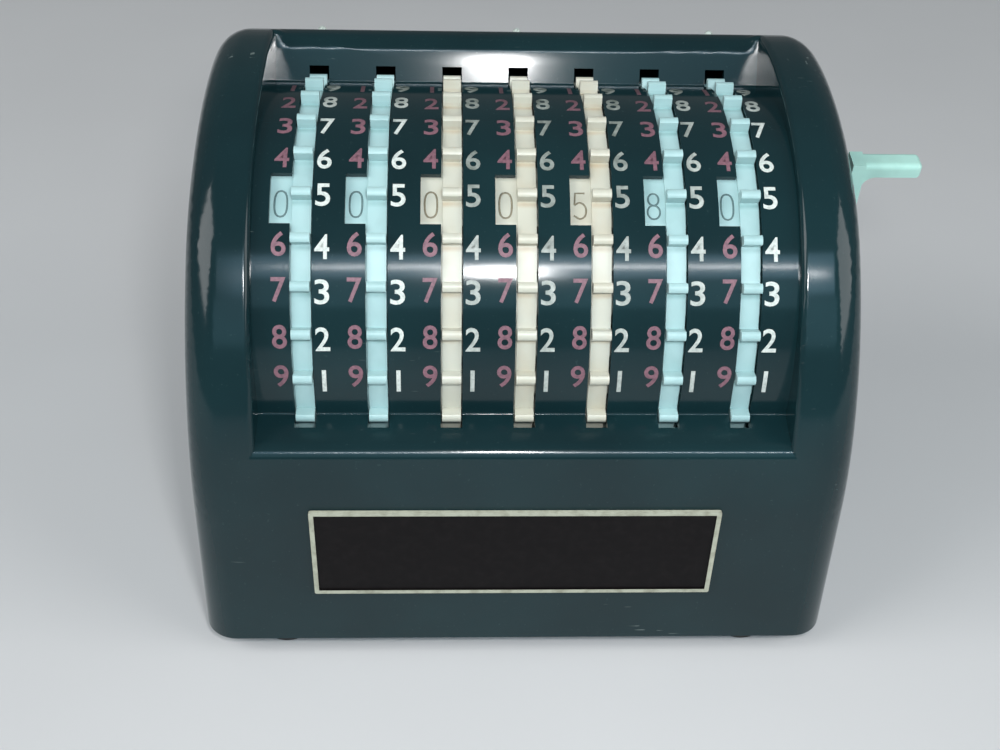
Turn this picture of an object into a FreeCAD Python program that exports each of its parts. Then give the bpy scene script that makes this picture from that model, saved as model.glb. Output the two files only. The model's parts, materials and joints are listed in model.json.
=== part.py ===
import FreeCAD, Part
import math
import os
import re
import Sketcher
from FreeCAD import Placement, Rotation, Vector

# A small desk adding machine: seven finger wheels turn on one axle inside a moulded
# case.  All sub-parts are drawn about the axle: X along it to the right, Y to the
# back, Z up.  Sizes are in millimetres and angles in degrees.

doc = FreeCAD.newDocument("AddingMachine")
PARTS = []
# the digit in each window, from the left
SHOWN = [0, 0, 0, 0, 5, 8, 0]
sheet = doc.addObject("Spreadsheet::Sheet", "Sizes")

# name, value, what it is
DIMENSIONS = [
    # columns and number wheels
    ("columnPitch", 16.0, "from one wheel to the next"),
    ("stepCount", 30, "units in a full turn of a wheel"),
    ("ribAngle", 56.4, "height of the rib beside the fifth row, above the front"),
    ("ribRadius", 50.0, "to the crest of a finger rib"),
    ("ribThickness", 2.1, "along the rim"),
    ("ribCrest", 1.4, "radius of its rounded crest"),
    ("rimWidth", 4.1, "finger rim"),
    ("rimRadius", 47.3, "floor of the rim, at its corners below the ribs"),
    ("drumRadius", 46.5, "digit drum, at the corners between its flat fields"),
    ("drumWall", 3.0, "shell of the drum"),
    ("fieldAngle", 55.6, "height of the field in the window, above the front"),
    ("drumLeft", 7.0, "drum reaches this far left of the rim's middle"),
    ("webThickness", 1.8, "disc between hub and drum"),
    ("hubRadius", 9.0, ""),
    ("hubGap", 0.2, "between the hubs of neighbours"),
    ("hubRight", 8.6, "hub reaches this far right of the rim's middle"),
    ("chamberRadius", 6.5, "open end of the hub"),
    ("chamberDepth", 4.0, ""),
    ("notchRadius", 7.4, "zero notches in the open end"),
    ("notchHalf", 1.2, ""),
    ("axleRadius", 4.0, ""),
    ("runningGap", 0.05, "radial clearance of turning fits"),
    # carry gear
    ("pinionDistance", 53.0, "from the axle to the carry shaft"),
    ("pinionAngle", 46.0, "carry shaft lies this far below the level, at the back"),
    ("pinionTeeth", 6, ""),
    ("pinionTip", 11.3, "tip radius of the driving half"),
    ("pinionRoot", 6.8, ""),
    ("toothTipHalf", 0.8, "half the width of a pinion tooth at its tip"),
    ("toothRootHalf", 1.6, "half the width of a pinion tooth at its root"),
    ("carryTip", 9.4, "tip radius of the carry half"),
    ("pinionStart", 2.6, "pinion begins this far right of the rim's middle"),
    ("pinionDriving", 2.6, "length of the driving half"),
    ("pinionLength", 5.8, ""),
    ("gearRight", 5.0, "gear ring ends this far right of the rim's middle"),
    ("gearTip", 45.3, "tips of its teeth"),
    ("gearRoot", 41.2, "bottom of a tooth space"),
    ("gearInner", 38.5, "inside of the gear ring"),
    ("webRight", 2.1, "disc between hub and drum ends this far right of the rim's middle"),
    ("spaceRootHalf", 1.5, "half the width of a tooth space at its bottom"),
    ("spaceTipHalf", 2.3, "half the width of a tooth space at its mouth"),
    ("fingerLeft", 10.2, "carry finger reaches this far left of the rim's middle"),
    ("fingerBase", 41.0, "radius at its inner end"),
    ("fingerBaseHalf", 0.9, ""),
    ("fingerTipHalf", 0.4, ""),
    ("fingerLead", 7.15, "a finger has passed the pinion by this much at zero"),
    ("shaftRadius", 1.5, "carry shaft"),
    # case
    ("caseHalfWidth", 73.6, "at the height of the axle"),
    ("sideLean", 1.45, "of the sides, which are wider apart at the bottom"),
    ("caseWall", 2.2, ""),
    ("panelWall", 1.2, "where the wheels run below the panel"),
    ("caseBase", 63.0, "bottom edge of the case below the axle"),
    ("frontDepth", 60.0, "front face before the axle"),
    ("backDepth", 54.3, "back face behind the axle"),
    ("frontArc", 90.0, "radius of the cheek's front"),
    ("cheekRadius", 50.4, "cheek's crest where it follows the wheels"),
    ("cheekTopAngle", 60.0, "where the crest leaves the wheels"),
    ("topArc", 82.5, ""),
    ("backArc", 36.0, ""),
    ("cheekRounding", 8.0, "outer edges of the cheeks"),
    ("panelRadius", 48.0, ""),
    ("panelHalfWidth", 58.4, ""),
    ("panelTopAngle", 118.7, "where the leaning wall begins"),
    ("wallLean", 26.0, "of the wall behind the wheels, from the vertical"),
    ("ledgeBack", 3.0, "ledge below the axle at the panel"),
    ("ledgeFront", 6.2, "ledge below the axle at the front face"),
    ("slotWidth", 4.7, ""),
    ("slotFoot", 3.6, "slots run on into the ledge by this much"),
    ("slotHead", 4.1, "slots run on up the leaning wall by this much"),
    ("windowWidth", 4.4, "beside the slot"),
    ("windowLow", 48.4, ""),
    ("windowHigh", 62.4, ""),
    ("ledgeRounding", 4.5, "front edge of the ledge"),
    ("roundingEnd", 12.0, "angle at which it runs out into the front face"),
    ("recessEdge", 1.4, "rounding of the recess's outer edges"),
    ("recessFold", 0.6, "rounding where the panel meets the ledge and the leaning wall"),
    ("blockHeight", 7.0, "screw blocks in the case's corners"),
    ("blockLength", 12.0, ""),
    ("blockHalf", 4.0, ""),
    ("clearOut", 10.0, "cutting outlines run out of the solid by this much"),
    ("sunk", 0.5, "additions start inside their neighbour by this much"),
    # rim studs
    ("studRadius", 1.2, ""),
    ("studProud", 0.5, ""),
    ("studAngle", 55.0, "place on the back arc, above the level"),
    # nameplate
    ("plateLeft", 47.6, "left of the middle column"),
    ("plateRight", 44.5, ""),
    ("plateTop", 20.8, "below the axle"),
    ("plateHeight", 25.8, ""),
    ("plateThickness", 0.8, ""),
    ("plateCorner", 0.5, ""),
    ("plateBorder", 1.1, ""),
    ("plateSink", 0.3, "field below its border"),
    # base, feet and their screws
    ("baseThickness", 1.5, ""),
    ("baseInset", 1.8, "inside the case's outline"),
    ("baseCorner", 6.5, ""),
    ("footX", 56.0, "feet from the middle"),
    ("footFront", 50.0, "front feet before the axle"),
    ("footBack", 44.0, "rear feet behind the axle"),
    ("footRadius", 7.0, ""),
    ("footHeight", 4.0, ""),
    ("footTaper", 0.5, ""),
    ("footEdge", 0.8, "bevel of its lower edge"),
    ("footHole", 1.7, ""),
    ("footBore", 3.4, "for the screw's head"),
    ("footBoreDepth", 2.2, ""),
    ("footScrew", 1.4, "radius of the shank"),
    ("footScrewHead", 2.9, ""),
    ("footScrewHeight", 1.3, ""),
    # side frames and what ties them
    ("frameGap", 60.8, "inner faces of the side frames from the middle"),
    ("frameThickness", 1.6, ""),
    ("frameInset", 4.5, "inside the case's outline"),
    ("flangeInner", 51.5, ""),
    ("flangeHalf", 30.0, ""),
    ("flangeScrewX", 56.0, ""),
    ("flangeScrewY", 22.0, ""),
    ("flangeScrew", 1.3, "radius of the shank"),
    ("flangeScrewHead", 2.4, ""),
    ("flangeScrewHeight", 1.2, ""),
    ("rodRadius", 2.5, ""),
    ("rodFrontY", -42.0, ""),
    ("rodFrontZ", -45.0, ""),
    ("rodTopY", 45.6, ""),
    ("rodTopZ", 30.0, ""),
    ("rodRearY", 44.0, ""),
    ("rodRearZ", -52.0, ""),
    ("frameScrew", 1.2, "radius of the shank"),
    ("frameScrewHead", 2.6, ""),
    ("frameScrewHeight", 1.4, ""),
    ("frameScrewReach", 7.0, "into the rod"),
    ("frameScrewHole", 9.0, "depth in the rod"),
    # detent
    ("railFront", 20.0, "detent rail behind the axle"),
    ("railBack", 26.0, ""),
    ("railLow", -59.5, ""),
    ("railHigh", -55.5, ""),
    ("combThickness", 0.5, ""),
    ("combHalfWidth", 53.0, ""),
    ("leafWidth", 3.4, ""),
    ("leafRise", 3.6, "from the rail to the nose's foot"),
    ("noseFront", 1.4, "foot of the nose behind the axle"),
    ("noseBack", 4.8, ""),
    ("noseTip", 47.6, "nose below the axle"),
    ("noseHalf", 0.7, "half the width of its tip"),
    ("combScrew", 0.9, "radius of the shank"),
    ("combScrewHead", 1.8, ""),
    ("combScrewHeight", 1.0, ""),
    ("combScrewReach", 3.0, ""),
    ("combScrewPitch", 40.0, ""),
    # axle, bushes and the clearing lever
    ("bushRadius", 8.0, ""),
    ("bushSpigot", 5.5, ""),
    ("bushProud", 0.2, "spigot stands out of the frame"),
    ("clipRadius", 6.5, ""),
    ("clipThickness", 0.6, ""),
    ("catchLength", 2.8, "zero catches"),
    ("catchCollar", 4.9, ""),
    ("catchTip", 6.35, ""),
    ("catchHalf", 1.1, ""),
    ("leverBushRadius", 6.0, ""),
    ("leverBushReach", 5.3, "inside the case's wall"),
    ("bossRadius", 10.5, "flat seat on the case for the bush's flange"),
    ("bossProud", 0.5, ""),
    ("leverFlange", 9.0, ""),
    ("leverFlangeThickness", 1.2, ""),
    ("leverThickness", 3.0, ""),
    ("leverHub", 8.0, ""),
    ("leverAngle", 80.6, "above the front level, at rest"),
    ("leverReach", 37.6, "to the middle of the tab"),
    ("leverHalf", 4.6, "half the width of the arm at the hub"),
    ("tabHalf", 2.6, "half the width of the tab"),
    ("tabThickness", 3.4, ""),
    ("tabEnd", 91.8, "end of the tab from the middle"),
    ("tabRounding", 1.3, "of its long edges"),
    ("tabFillet", 3.0, "between the arm and the tab's lower side"),
    ("leverScrew", 1.5, "radius of the shank"),
    ("leverScrewHead", 4.6, ""),
    ("leverScrewHeight", 1.8, ""),
    ("leverScrewReach", 7.0, "into the axle"),
    ("leverGap", 0.2, "between the bush and the lever"),
    ("springStrip", 0.4, "thickness of the strip"),
    ("springPitch", 1.0, "from one turn to the next"),
    ("springGap", 0.1, "around the axle and at both sides"),
    # carry shaft
    ("shaftProud", 1.2, "stands out of the frame"),
    ("shaftClip", 3.2, ""),
    ("spacerRadius", 2.3, ""),
    ("spacerGap", 0.1, "beside the pinions"),
]

# name, formula, worked out from the sizes above
DERIVED = [
    ("stepAngle", "360 / stepCount"),
    ("sideSlope", "tan(sideLean)"),
    ("lowHalfWidth", "caseHalfWidth + caseBase * sideSlope"),
    # place of the axle in the finished object, whose middle stands over the origin
    ("axleX", "(lowHalfWidth - tabEnd) / 2"),
    ("axleY", "(frontDepth + plateThickness - backDepth) / 2"),
    ("axleHeight", "caseBase + baseThickness + footHeight"),
    # centres of the three large arcs of the side outline
    ("frontArcY", "frontArc - frontDepth"),
    ("frontArcZ", "-sqrt(pow(frontArc - cheekRadius; 2) - pow(frontArcY; 2))"),
    ("topArcY", "(topArc - cheekRadius) * cos(cheekTopAngle)"),
    ("topArcZ", "-(topArc - cheekRadius) * sin(cheekTopAngle)"),
    ("backArcY", "backDepth - backArc"),
    ("backArcZ", "topArcZ + sqrt(pow(topArc - backArc; 2) - pow(backArcY - topArcY; 2))"),
    # unit vectors towards the points where the arcs run into each other
    ("frontRunY", "-frontArcY / (frontArc - cheekRadius)"),
    ("frontRunZ", "-frontArcZ / (frontArc - cheekRadius)"),
    ("backRunY", "(backArcY - topArcY) / (topArc - backArc)"),
    ("backRunZ", "(backArcZ - topArcZ) / (topArc - backArc)"),
    # ledge: a line that falls towards the front
    ("panelFootY", "-sqrt(pow(panelRadius; 2) - pow(ledgeBack; 2))"),
    ("ledgeSlope", "(ledgeFront - ledgeBack) / (frontDepth + panelFootY)"),
    ("ledgeLevel", "-ledgeBack - ledgeSlope * panelFootY"),
    ("underLevel", "ledgeLevel - caseWall * sqrt(1 + pow(ledgeSlope; 2))"),
    ("innerRadius", "panelRadius - panelWall"),
    ("underRoot", "sqrt((1 + pow(ledgeSlope; 2)) * pow(innerRadius; 2) - pow(underLevel; 2))"),
    ("underFootY", "-(underLevel * ledgeSlope + underRoot) / (1 + pow(ledgeSlope; 2))"),
    # rounded front edge of the ledge: its middle, and where it begins and ends
    ("ledgeStretch", "sqrt(1 + pow(ledgeSlope; 2))"),
    ("edgeSpan", "2 * frontArc * ledgeRounding * cos(roundingEnd)"),
    ("edgeReach", "sqrt(pow(frontArc; 2) + pow(ledgeRounding; 2) - edgeSpan)"),
    ("edgeDrop", "ledgeLevel - ledgeRounding * ledgeStretch - frontArcZ"),
    ("edgeLead", "frontArcY - ledgeSlope * edgeDrop"),
    ("edgeRest", "pow(frontArcY; 2) + pow(edgeDrop; 2) - pow(edgeReach; 2)"),
    ("edgeRoot", "sqrt(pow(edgeLead; 2) - pow(ledgeStretch; 2) * edgeRest)"),
    ("edgeMidY", "(edgeLead - edgeRoot) / pow(ledgeStretch; 2)"),
    ("edgeMidZ", "frontArcZ + edgeDrop + ledgeSlope * edgeMidY"),
    ("edgeStartY", "edgeMidY - ledgeRounding * ledgeSlope / ledgeStretch"),
    ("edgeStartZ", "edgeMidZ + ledgeRounding / ledgeStretch"),
    ("edgeSquares", "pow(frontArc; 2) - pow(ledgeRounding; 2) + pow(edgeReach; 2)"),
    ("edgeAlong", "edgeSquares / (2 * edgeReach)"),
    ("edgeAside", "sqrt(pow(frontArc; 2) - pow(edgeAlong; 2))"),
    ("edgeRunY", "(edgeMidY - frontArcY) / edgeReach"),
    ("edgeRunZ", "(edgeMidZ - frontArcZ) / edgeReach"),
    ("edgeEndY", "frontArcY + edgeAlong * edgeRunY + edgeAside * edgeRunZ"),
    ("edgeEndZ", "frontArcZ + edgeAlong * edgeRunZ - edgeAside * edgeRunY"),
    # where the inside of the ledge meets the inside of the front
    ("frontInner", "frontArc - caseWall"),
    ("underRise", "underLevel - frontArcZ"),
    ("underMid", "frontArcY - ledgeSlope * underRise"),
    ("underSpan", "pow(frontArcY; 2) + pow(underRise; 2) - pow(frontInner; 2)"),
    ("frontRoot", "sqrt(pow(underMid; 2) - (1 + pow(ledgeSlope; 2)) * underSpan)"),
    ("underFrontY", "(underMid - frontRoot) / (1 + pow(ledgeSlope; 2))"),
    # leaning wall behind the wheels: a line from the panel's head up to the back arc
    ("leanY", "sin(wallLean)"),
    ("leanZ", "cos(wallLean)"),
    ("headY", "-panelRadius * cos(panelTopAngle)"),
    ("headZ", "panelRadius * sin(panelTopAngle)"),
    ("underHeadY", "headY + caseWall * leanZ"),
    ("underHeadZ", "headZ - caseWall * leanY"),
    ("underAlong", "underHeadY * leanY + underHeadZ * leanZ"),
    ("underCross", "underHeadY * leanZ - underHeadZ * leanY"),
    ("underStart", "sqrt(pow(innerRadius; 2) - pow(underCross; 2)) - underAlong"),
    ("backAlong", "(underHeadY - backArcY) * leanY + (underHeadZ - backArcZ) * leanZ"),
    ("backCross", "(underHeadY - backArcY) * leanZ - (underHeadZ - backArcZ) * leanY"),
    ("underEnd", "sqrt(pow(backArc - caseWall; 2) - pow(backCross; 2)) - backAlong"),
    ("cavityHalf", "panelHalfWidth + caseWall"),
    # number wheels
    ("hubLeft", "columnPitch - hubRight - hubGap"),
    ("boreRadius", "axleRadius + runningGap"),
    ("drumInner", "drumRadius - drumWall"),
    ("ribHalf", "ribThickness / 2"),
    ("crestStart", "ribRadius - ribCrest + sqrt(pow(ribCrest; 2) - pow(ribHalf; 2))"),
    ("spaceSpread", "(spaceTipHalf - spaceRootHalf) / (gearTip - gearRoot)"),
    ("fieldEdge", "fieldAngle + stepAngle / 2"),
    ("fingerAngle", "-180 + pinionAngle - fingerLead"),
    # carry pinions
    ("toothSpread", "(toothRootHalf - toothTipHalf) / (pinionTip - pinionRoot)"),
    ("pinionY", "pinionDistance * cos(pinionAngle)"),
    ("pinionZ", "-pinionDistance * sin(pinionAngle)"),
    ("shaftHalf", "frameGap + frameThickness + shaftProud"),
    # along the axle
    ("frameOuter", "frameGap + frameThickness"),
    ("wheelsHalf", "3 * columnPitch"),
    ("axleLeft", "-frameOuter - bushProud - clipThickness - sunk"),
    ("bossFace", "caseHalfWidth + bossProud"),
    ("bushStart", "caseHalfWidth - caseWall - leverBushReach"),
    ("leverStart", "bossFace + leverFlangeThickness + leverGap"),
    ("leverEnd", "leverStart + leverThickness"),
    ("leafFoot", "railHigh + leafRise"),
]


def fillSheet():
    row = 1
    for name, value, note in DIMENSIONS:
        sheet.set("A%d" % row, name)
        sheet.set("B%d" % row, str(value))
        sheet.setAlias("B%d" % row, name)
        sheet.set("C%d" % row, note)
        row += 1
    for name, formula in DERIVED:
        sheet.set("A%d" % row, name)
        sheet.set("B%d" % row, "=" + formula)
        sheet.setAlias("B%d" % row, name)
        row += 1
    doc.recompute()


def formula(text):
    """The text with every name of a size turned into its cell."""
    names = {entry[0] for entry in DIMENSIONS} | {entry[0] for entry in DERIVED}
    swap = lambda found: "Sizes." + found[0] if found[0] in names else found[0]
    return re.sub(r"[A-Za-z]+", swap, str(text))


def worth(text):
    return float(sheet.evalExpression(formula(text)))


def bind(item, target, text):
    item.setExpression(target, formula(text))


def plane(body, role):
    return next(part for part in body.Origin.OriginFeatures if part.Role == role)


def sketchOn(body, name, role, offset="0"):
    sketch = body.newObject("Sketcher::SketchObject", name)
    sketch.AttachmentSupport = [(plane(body, role), "")]
    sketch.MapMode = "FlatFace"
    bind(sketch, ".AttachmentOffset.Base.z", offset)
    return sketch


def centreOf(start, end, radius, side):
    """Centre of the arc from start to end that lies to the left (1) or right (-1)."""
    chord = end - start
    rise = math.sqrt(max(radius ** 2 - (chord.Length / 2) ** 2, 0))
    across = Vector(-chord.y, chord.x, 0).normalize()
    return (start + end) / 2 + across * rise * side


def addOutline(sketch, corners, arcs={}):
    """A closed outline.  corners holds pairs of formulas, and arcs gives the radius and
    the centre's side for each run that starts at that corner and isn't straight.
    A radius of None stands for a half circle between two ends of one height."""
    points = [Vector(worth(across), worth(up), 0) for across, up in corners]
    first = sketch.GeometryCount
    starts = []
    for index, start in enumerate(points):
        end = points[(index + 1) % len(points)]
        if index in arcs:
            radius, side = arcs[index]
            reach = worth(radius) if radius else start.distanceToPoint(end) / 2
            centre = centreOf(start, end, reach, side) if radius else (start + end) / 2
            begin, finish = (start, end) if side > 0 else (end, start)
            angles = [math.atan2(p.y - centre.y, p.x - centre.x) for p in (begin, finish)]
            circle = Part.Circle(centre, Vector(0, 0, 1), reach)
            sketch.addGeometry(Part.ArcOfCircle(circle, *angles), False)
            starts.append((1, 2) if side > 0 else (2, 1))
        else:
            sketch.addGeometry(Part.LineSegment(start, end), False)
            starts.append((1, 2))
    count = len(points)
    joints, sizes, texts = [], [], []
    for index, (across, up) in enumerate(corners):
        edge = first + index
        begin = starts[index][0]
        following = (first + (index + 1) % count, starts[(index + 1) % count][0])
        joints.append(Sketcher.Constraint("Coincident", edge, starts[index][1], *following))
        sizes.append(Sketcher.Constraint("DistanceX", edge, begin, points[index].x))
        sizes.append(Sketcher.Constraint("DistanceY", edge, begin, points[index].y))
        texts += [across, up]
        if index in arcs and arcs[index][0]:
            sizes.append(Sketcher.Constraint("Radius", edge, worth(arcs[index][0])))
            texts.append(arcs[index][0])
        elif index in arcs:
            sizes.append(Sketcher.Constraint("DistanceY", edge, 3, points[index].y))
            texts.append(up)
    numbers = sketch.addConstraint(joints + sizes)
    for number, text in zip(numbers[count:], texts):
        bind(sketch, "Constraints[%d]" % number, text)
    return sketch


def addCircle(sketch, across, up, radius):
    circle = Part.Circle(Vector(worth(across), worth(up), 0), Vector(0, 0, 1), worth(radius))
    edge = sketch.addGeometry(circle, False)
    for kind, text in (("DistanceX", across), ("DistanceY", up)):
        number = sketch.addConstraint(Sketcher.Constraint(kind, edge, 3, worth(text)))
        bind(sketch, "Constraints[%d]" % number, text)
    number = sketch.addConstraint(Sketcher.Constraint("Radius", edge, worth(radius)))
    bind(sketch, "Constraints[%d]" % number, radius)
    return sketch


def extrude(body, kind, name, sketch, length, midplane=False, reverse=False):
    """A pad or pocket of the sketch, centred on it or to one side."""
    before = body.Shape.Volume if body.Tip else 0
    feature = body.newObject("PartDesign::" + kind, name)
    feature.Profile = sketch
    feature.Midplane = midplane
    feature.Reversed = reverse
    bind(feature, "Length", length)
    sketch.Visibility = False
    doc.recompute()
    if abs(body.Shape.Volume - before) < 1e-6:
        raise ValueError("%s of %s changes nothing" % (name, body.Label))
    return feature


def roundEdges(body, name, radius, wanted):
    """A fillet of the edges of the body's last feature for which wanted says yes."""
    base = body.Tip
    names = ["Edge%d" % (n + 1) for n, e in enumerate(base.Shape.Edges) if wanted(e)]
    feature = body.newObject("PartDesign::Fillet", name)
    feature.Base = (base, names)
    bind(feature, "Radius", radius)
    doc.recompute()
    return feature


# ---- building blocks --------------------------------------------------------------


def newBody(name, x="0", y="0", z="0"):
    """An empty body whose own origin stands at x, y, z from the axle's middle."""
    body = doc.addObject("PartDesign::Body", name)
    body.Label = name
    body.AllowCompound = True
    bind(body, ".Placement.Base.x", "axleX + " + x)
    bind(body, ".Placement.Base.y", "axleY + " + y)
    bind(body, ".Placement.Base.z", "axleHeight + " + z)
    PARTS.append(body)
    return body


def across(body, offset="0"):
    """A sketch seen from the right, its X to the back and its Y up."""
    return sketchOn(body, "Side", "YZ_Plane", offset)


def lengthwise(body, y="0", z="0"):
    """A sketch seen from the front, its X to the right and its Y up."""
    sketch = sketchOn(body, "Front", "XZ_Plane", "-(%s)" % y)
    bind(sketch, ".AttachmentOffset.Base.y", z)
    return sketch


def level(body, z="0"):
    """A sketch seen from above."""
    return sketchOn(body, "Level", "XY_Plane", z)


def radial(angle, radius, half):
    """Point at a radius and angle above the front level, moved sideways by half."""
    values = {"a": angle, "r": radius, "h": half}
    return ("-(%(r)s) * cos(%(a)s) - (%(h)s) * sin(%(a)s)" % values,
            "(%(r)s) * sin(%(a)s) - (%(h)s) * cos(%(a)s)" % values)


def ring(radius, start):
    """Corners of a regular outline about the axle, one for each unit of a turn."""
    return [radial("%s + %d * stepAngle" % (start, number), radius, "0")
            for number in range(round(worth("stepCount")))]


def box(left, right, low, high):
    return [(left, low), (right, low), (right, high), (left, high)]


def turned(body, name, sketch, corners, axis="H_Axis"):
    """A solid of revolution about the sketch's own horizontal or vertical axis."""
    addOutline(sketch, corners)
    feature = body.newObject("PartDesign::Revolution", name)
    feature.Profile = sketch
    feature.ReferenceAxis = (sketch, [axis])
    feature.Angle = 360
    sketch.Visibility = False
    doc.recompute()
    return feature


def around(body, name, feature, count):
    """The feature repeated in a full turn about the body's own axle."""
    pattern = body.newObject("PartDesign::PolarPattern", name)
    pattern.Originals = [feature]
    pattern.Axis = (plane(body, "X_Axis"), [""])
    pattern.Angle = 360
    bind(pattern, "Occurrences", count)
    body.Tip = pattern
    doc.recompute()
    return pattern


def along(body, name, feature, count, length):
    """The feature repeated to the right, over the length."""
    pattern = body.newObject("PartDesign::LinearPattern", name)
    pattern.Originals = [feature]
    pattern.Direction = (plane(body, "X_Axis"), [""])
    bind(pattern, "Length", length)
    bind(pattern, "Occurrences", count)
    body.Tip = pattern
    doc.recompute()
    return pattern


def tube(body, name, start, length, outer, inner, y="0", z="0"):
    """A tube along X that starts at start."""
    sketch = across(body, start)
    addCircle(sketch, y, z, outer)
    if inner:
        addCircle(sketch, y, z, inner)
    return extrude(body, "Pad", name, sketch, length)


def drill(body, name, sketch, places, radius, depth, reverse=False):
    """Round holes at the places, cut away from the sketch's own side."""
    for first, second in places:
        addCircle(sketch, first, second, radius)
    return extrude(body, "Pocket", name, sketch, depth, reverse=reverse)


# ---- case -------------------------------------------------------------------------


def sideOutline(inset, low="-caseBase"):
    """Outline of the cheeks seen from the side, drawn in by the inset."""
    front = "-(frontDepth - %s)" % inset
    back = "backDepth - %s" % inset
    cheek = "(cheekRadius - %s)" % inset
    top = "(topArc - %s)" % inset
    corners = [
        (front, low),
        (front, "frontArcZ"),
        (cheek + " * frontRunY", cheek + " * frontRunZ"),
        ("-%s * cos(cheekTopAngle)" % cheek, "%s * sin(cheekTopAngle)" % cheek),
        ("topArcY + %s * backRunY" % top, "topArcZ + %s * backRunZ" % top),
        (back, "backArcZ"),
        (back, low),
    ]
    arcs = {
        1: ("frontArc - %s" % inset, -1),
        2: (cheek, -1),
        3: (top, -1),
        4: ("backArc - %s" % inset, -1),
    }
    return corners, arcs


def onPlane(edge, distance):
    """Whether the edge lies in one of the planes at plus or minus distance in X."""
    extent = edge.BoundBox
    return extent.XLength < 0.01 and abs(abs(extent.Center.x) - worth(distance)) < 0.01


def middleOf(edge):
    return edge.valueAt((edge.FirstParameter + edge.LastParameter) / 2)


def inRecessCorner(edge):
    """Whether the edge's middle lies on the panel, the ledge or the leaning wall."""
    y, z = middleOf(edge).y, middleOf(edge).z
    across, up = y - worth("edgeMidY"), z - worth("edgeMidZ")
    onRounding = abs(math.hypot(across, up) - worth("ledgeRounding")) < 0.05
    onPanel = abs(math.hypot(y, z) - worth("panelRadius")) < 0.2 and z > -worth("ledgeBack")
    onLedge = abs(z - worth("ledgeLevel") - worth("ledgeSlope") * y) < 0.2 and y < 0
    beyond = (y - worth("headY")) * worth("leanZ") - (z - worth("headZ")) * worth("leanY")
    return onPanel or onLedge or onRounding or abs(beyond) < 0.2


def leanSides(body, inset, rounding):
    """Cuts both sides to their slight lean and rounds their edges."""
    low = "(-caseBase - 2 * clearOut)"
    for side in ("-", ""):
        lean = "%s(caseHalfWidth - %s - sideSlope * %%s)" % (side, inset)
        far = side + "(lowHalfWidth + clearOut)"
        corners = [(lean % low, low), (far, low), (far, "topArc"), (lean % "topArc", "topArc")]
        sketch = addOutline(lengthwise(body), corners)
        extrude(body, "Pocket", "Side", sketch, "4 * topArc", midplane=True)
    edge = worth("caseHalfWidth - %s" % inset) - 4
    roundEdges(body, "CheekRounding", rounding,
               lambda e: abs(middleOf(e).x) > edge and e.BoundBox.XLength < 8
               and e.BoundBox.ZMax > worth("1 - caseBase"))


def makeShell(body):
    """The block with its recess."""
    outside = addOutline(across(body), *sideOutline("0"))
    extrude(body, "Pad", "Block", outside, "2 * lowHalfWidth + clearOut", midplane=True)
    leanSides(body, "0", "cheekRounding")
    recess = addOutline(
        across(body),
        [
            ("panelFootY", "-ledgeBack"),
            ("edgeStartY", "edgeStartZ"),
            ("edgeEndY", "edgeEndZ"),
            ("-frontDepth - clearOut", "edgeEndZ"),
            ("-frontDepth - clearOut", "topArc"),
            ("headY + leanY * (topArc - headZ) / leanZ", "topArc"),
            ("headY", "headZ"),
        ],
        {1: ("ledgeRounding", 1), 6: ("panelRadius", 1)},
    )
    extrude(body, "Pocket", "Recess", recess, "2 * panelHalfWidth", midplane=True)
    width = 2 * worth("panelHalfWidth")
    wide = [e for e in body.Tip.Shape.Edges if abs(e.BoundBox.XLength - width) < 0.01]
    ledge = min(wide, key=lambda e: e.BoundBox.YMin)
    crest = max(wide, key=lambda e: e.BoundBox.ZMin)
    roundEdges(body, "RecessEdges", "recessEdge",
               lambda e: e.isSame(ledge) or e.isSame(crest)
               or onPlane(e, "panelHalfWidth") and not inRecessCorner(e))
    for name, y, z in (("PanelFoot", "panelFootY", "-ledgeBack"),
                       ("PanelHead", "headY", "headZ")):
        place = Vector(0, worth(y), worth(z))
        roundEdges(body, name, "recessFold",
                   lambda e: (middleOf(e) - place).Length < 0.3 and e.BoundBox.XLength > width / 2)


def hollowOut(body):
    """The space for the wheels, and the hollows of both cheeks."""
    low = "-caseBase - clearOut"
    inner = "-(frontDepth - caseWall)"
    back = "backDepth - caseWall"
    cavity = addOutline(
        across(body),
        [
            (inner, low),
            (inner, "frontArcZ"),
            ("underFrontY", "underLevel + ledgeSlope * underFrontY"),
            ("underFootY", "underLevel + ledgeSlope * underFootY"),
            ("underHeadY + underStart * leanY", "underHeadZ + underStart * leanZ"),
            ("underHeadY + underEnd * leanY", "underHeadZ + underEnd * leanZ"),
            (back, "backArcZ"),
            (back, low),
        ],
        {1: ("frontInner", -1), 3: ("innerRadius", -1), 5: ("backArc - caseWall", -1)},
    )
    extrude(body, "Pocket", "Cavity", cavity, "2 * cavityHalf", midplane=True)
    core = doc.addObject("PartDesign::Body", "cheek_hollows")
    core.AllowCompound = True
    for name, start in (("Right", "cavityHalf - sunk"), ("Left", "-lowHalfWidth - 1")):
        hollow = addOutline(across(core, start), *sideOutline("caseWall", low))
        extrude(core, "Pad", name, hollow, "lowHalfWidth + 1 - cavityHalf + sunk")
    leanSides(core, "caseWall", "cheekRounding - caseWall")
    cut = body.newObject("PartDesign::Boolean", "Hollows")
    cut.Type = "Cut"
    cut.setObjects([core])
    doc.recompute()


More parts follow.
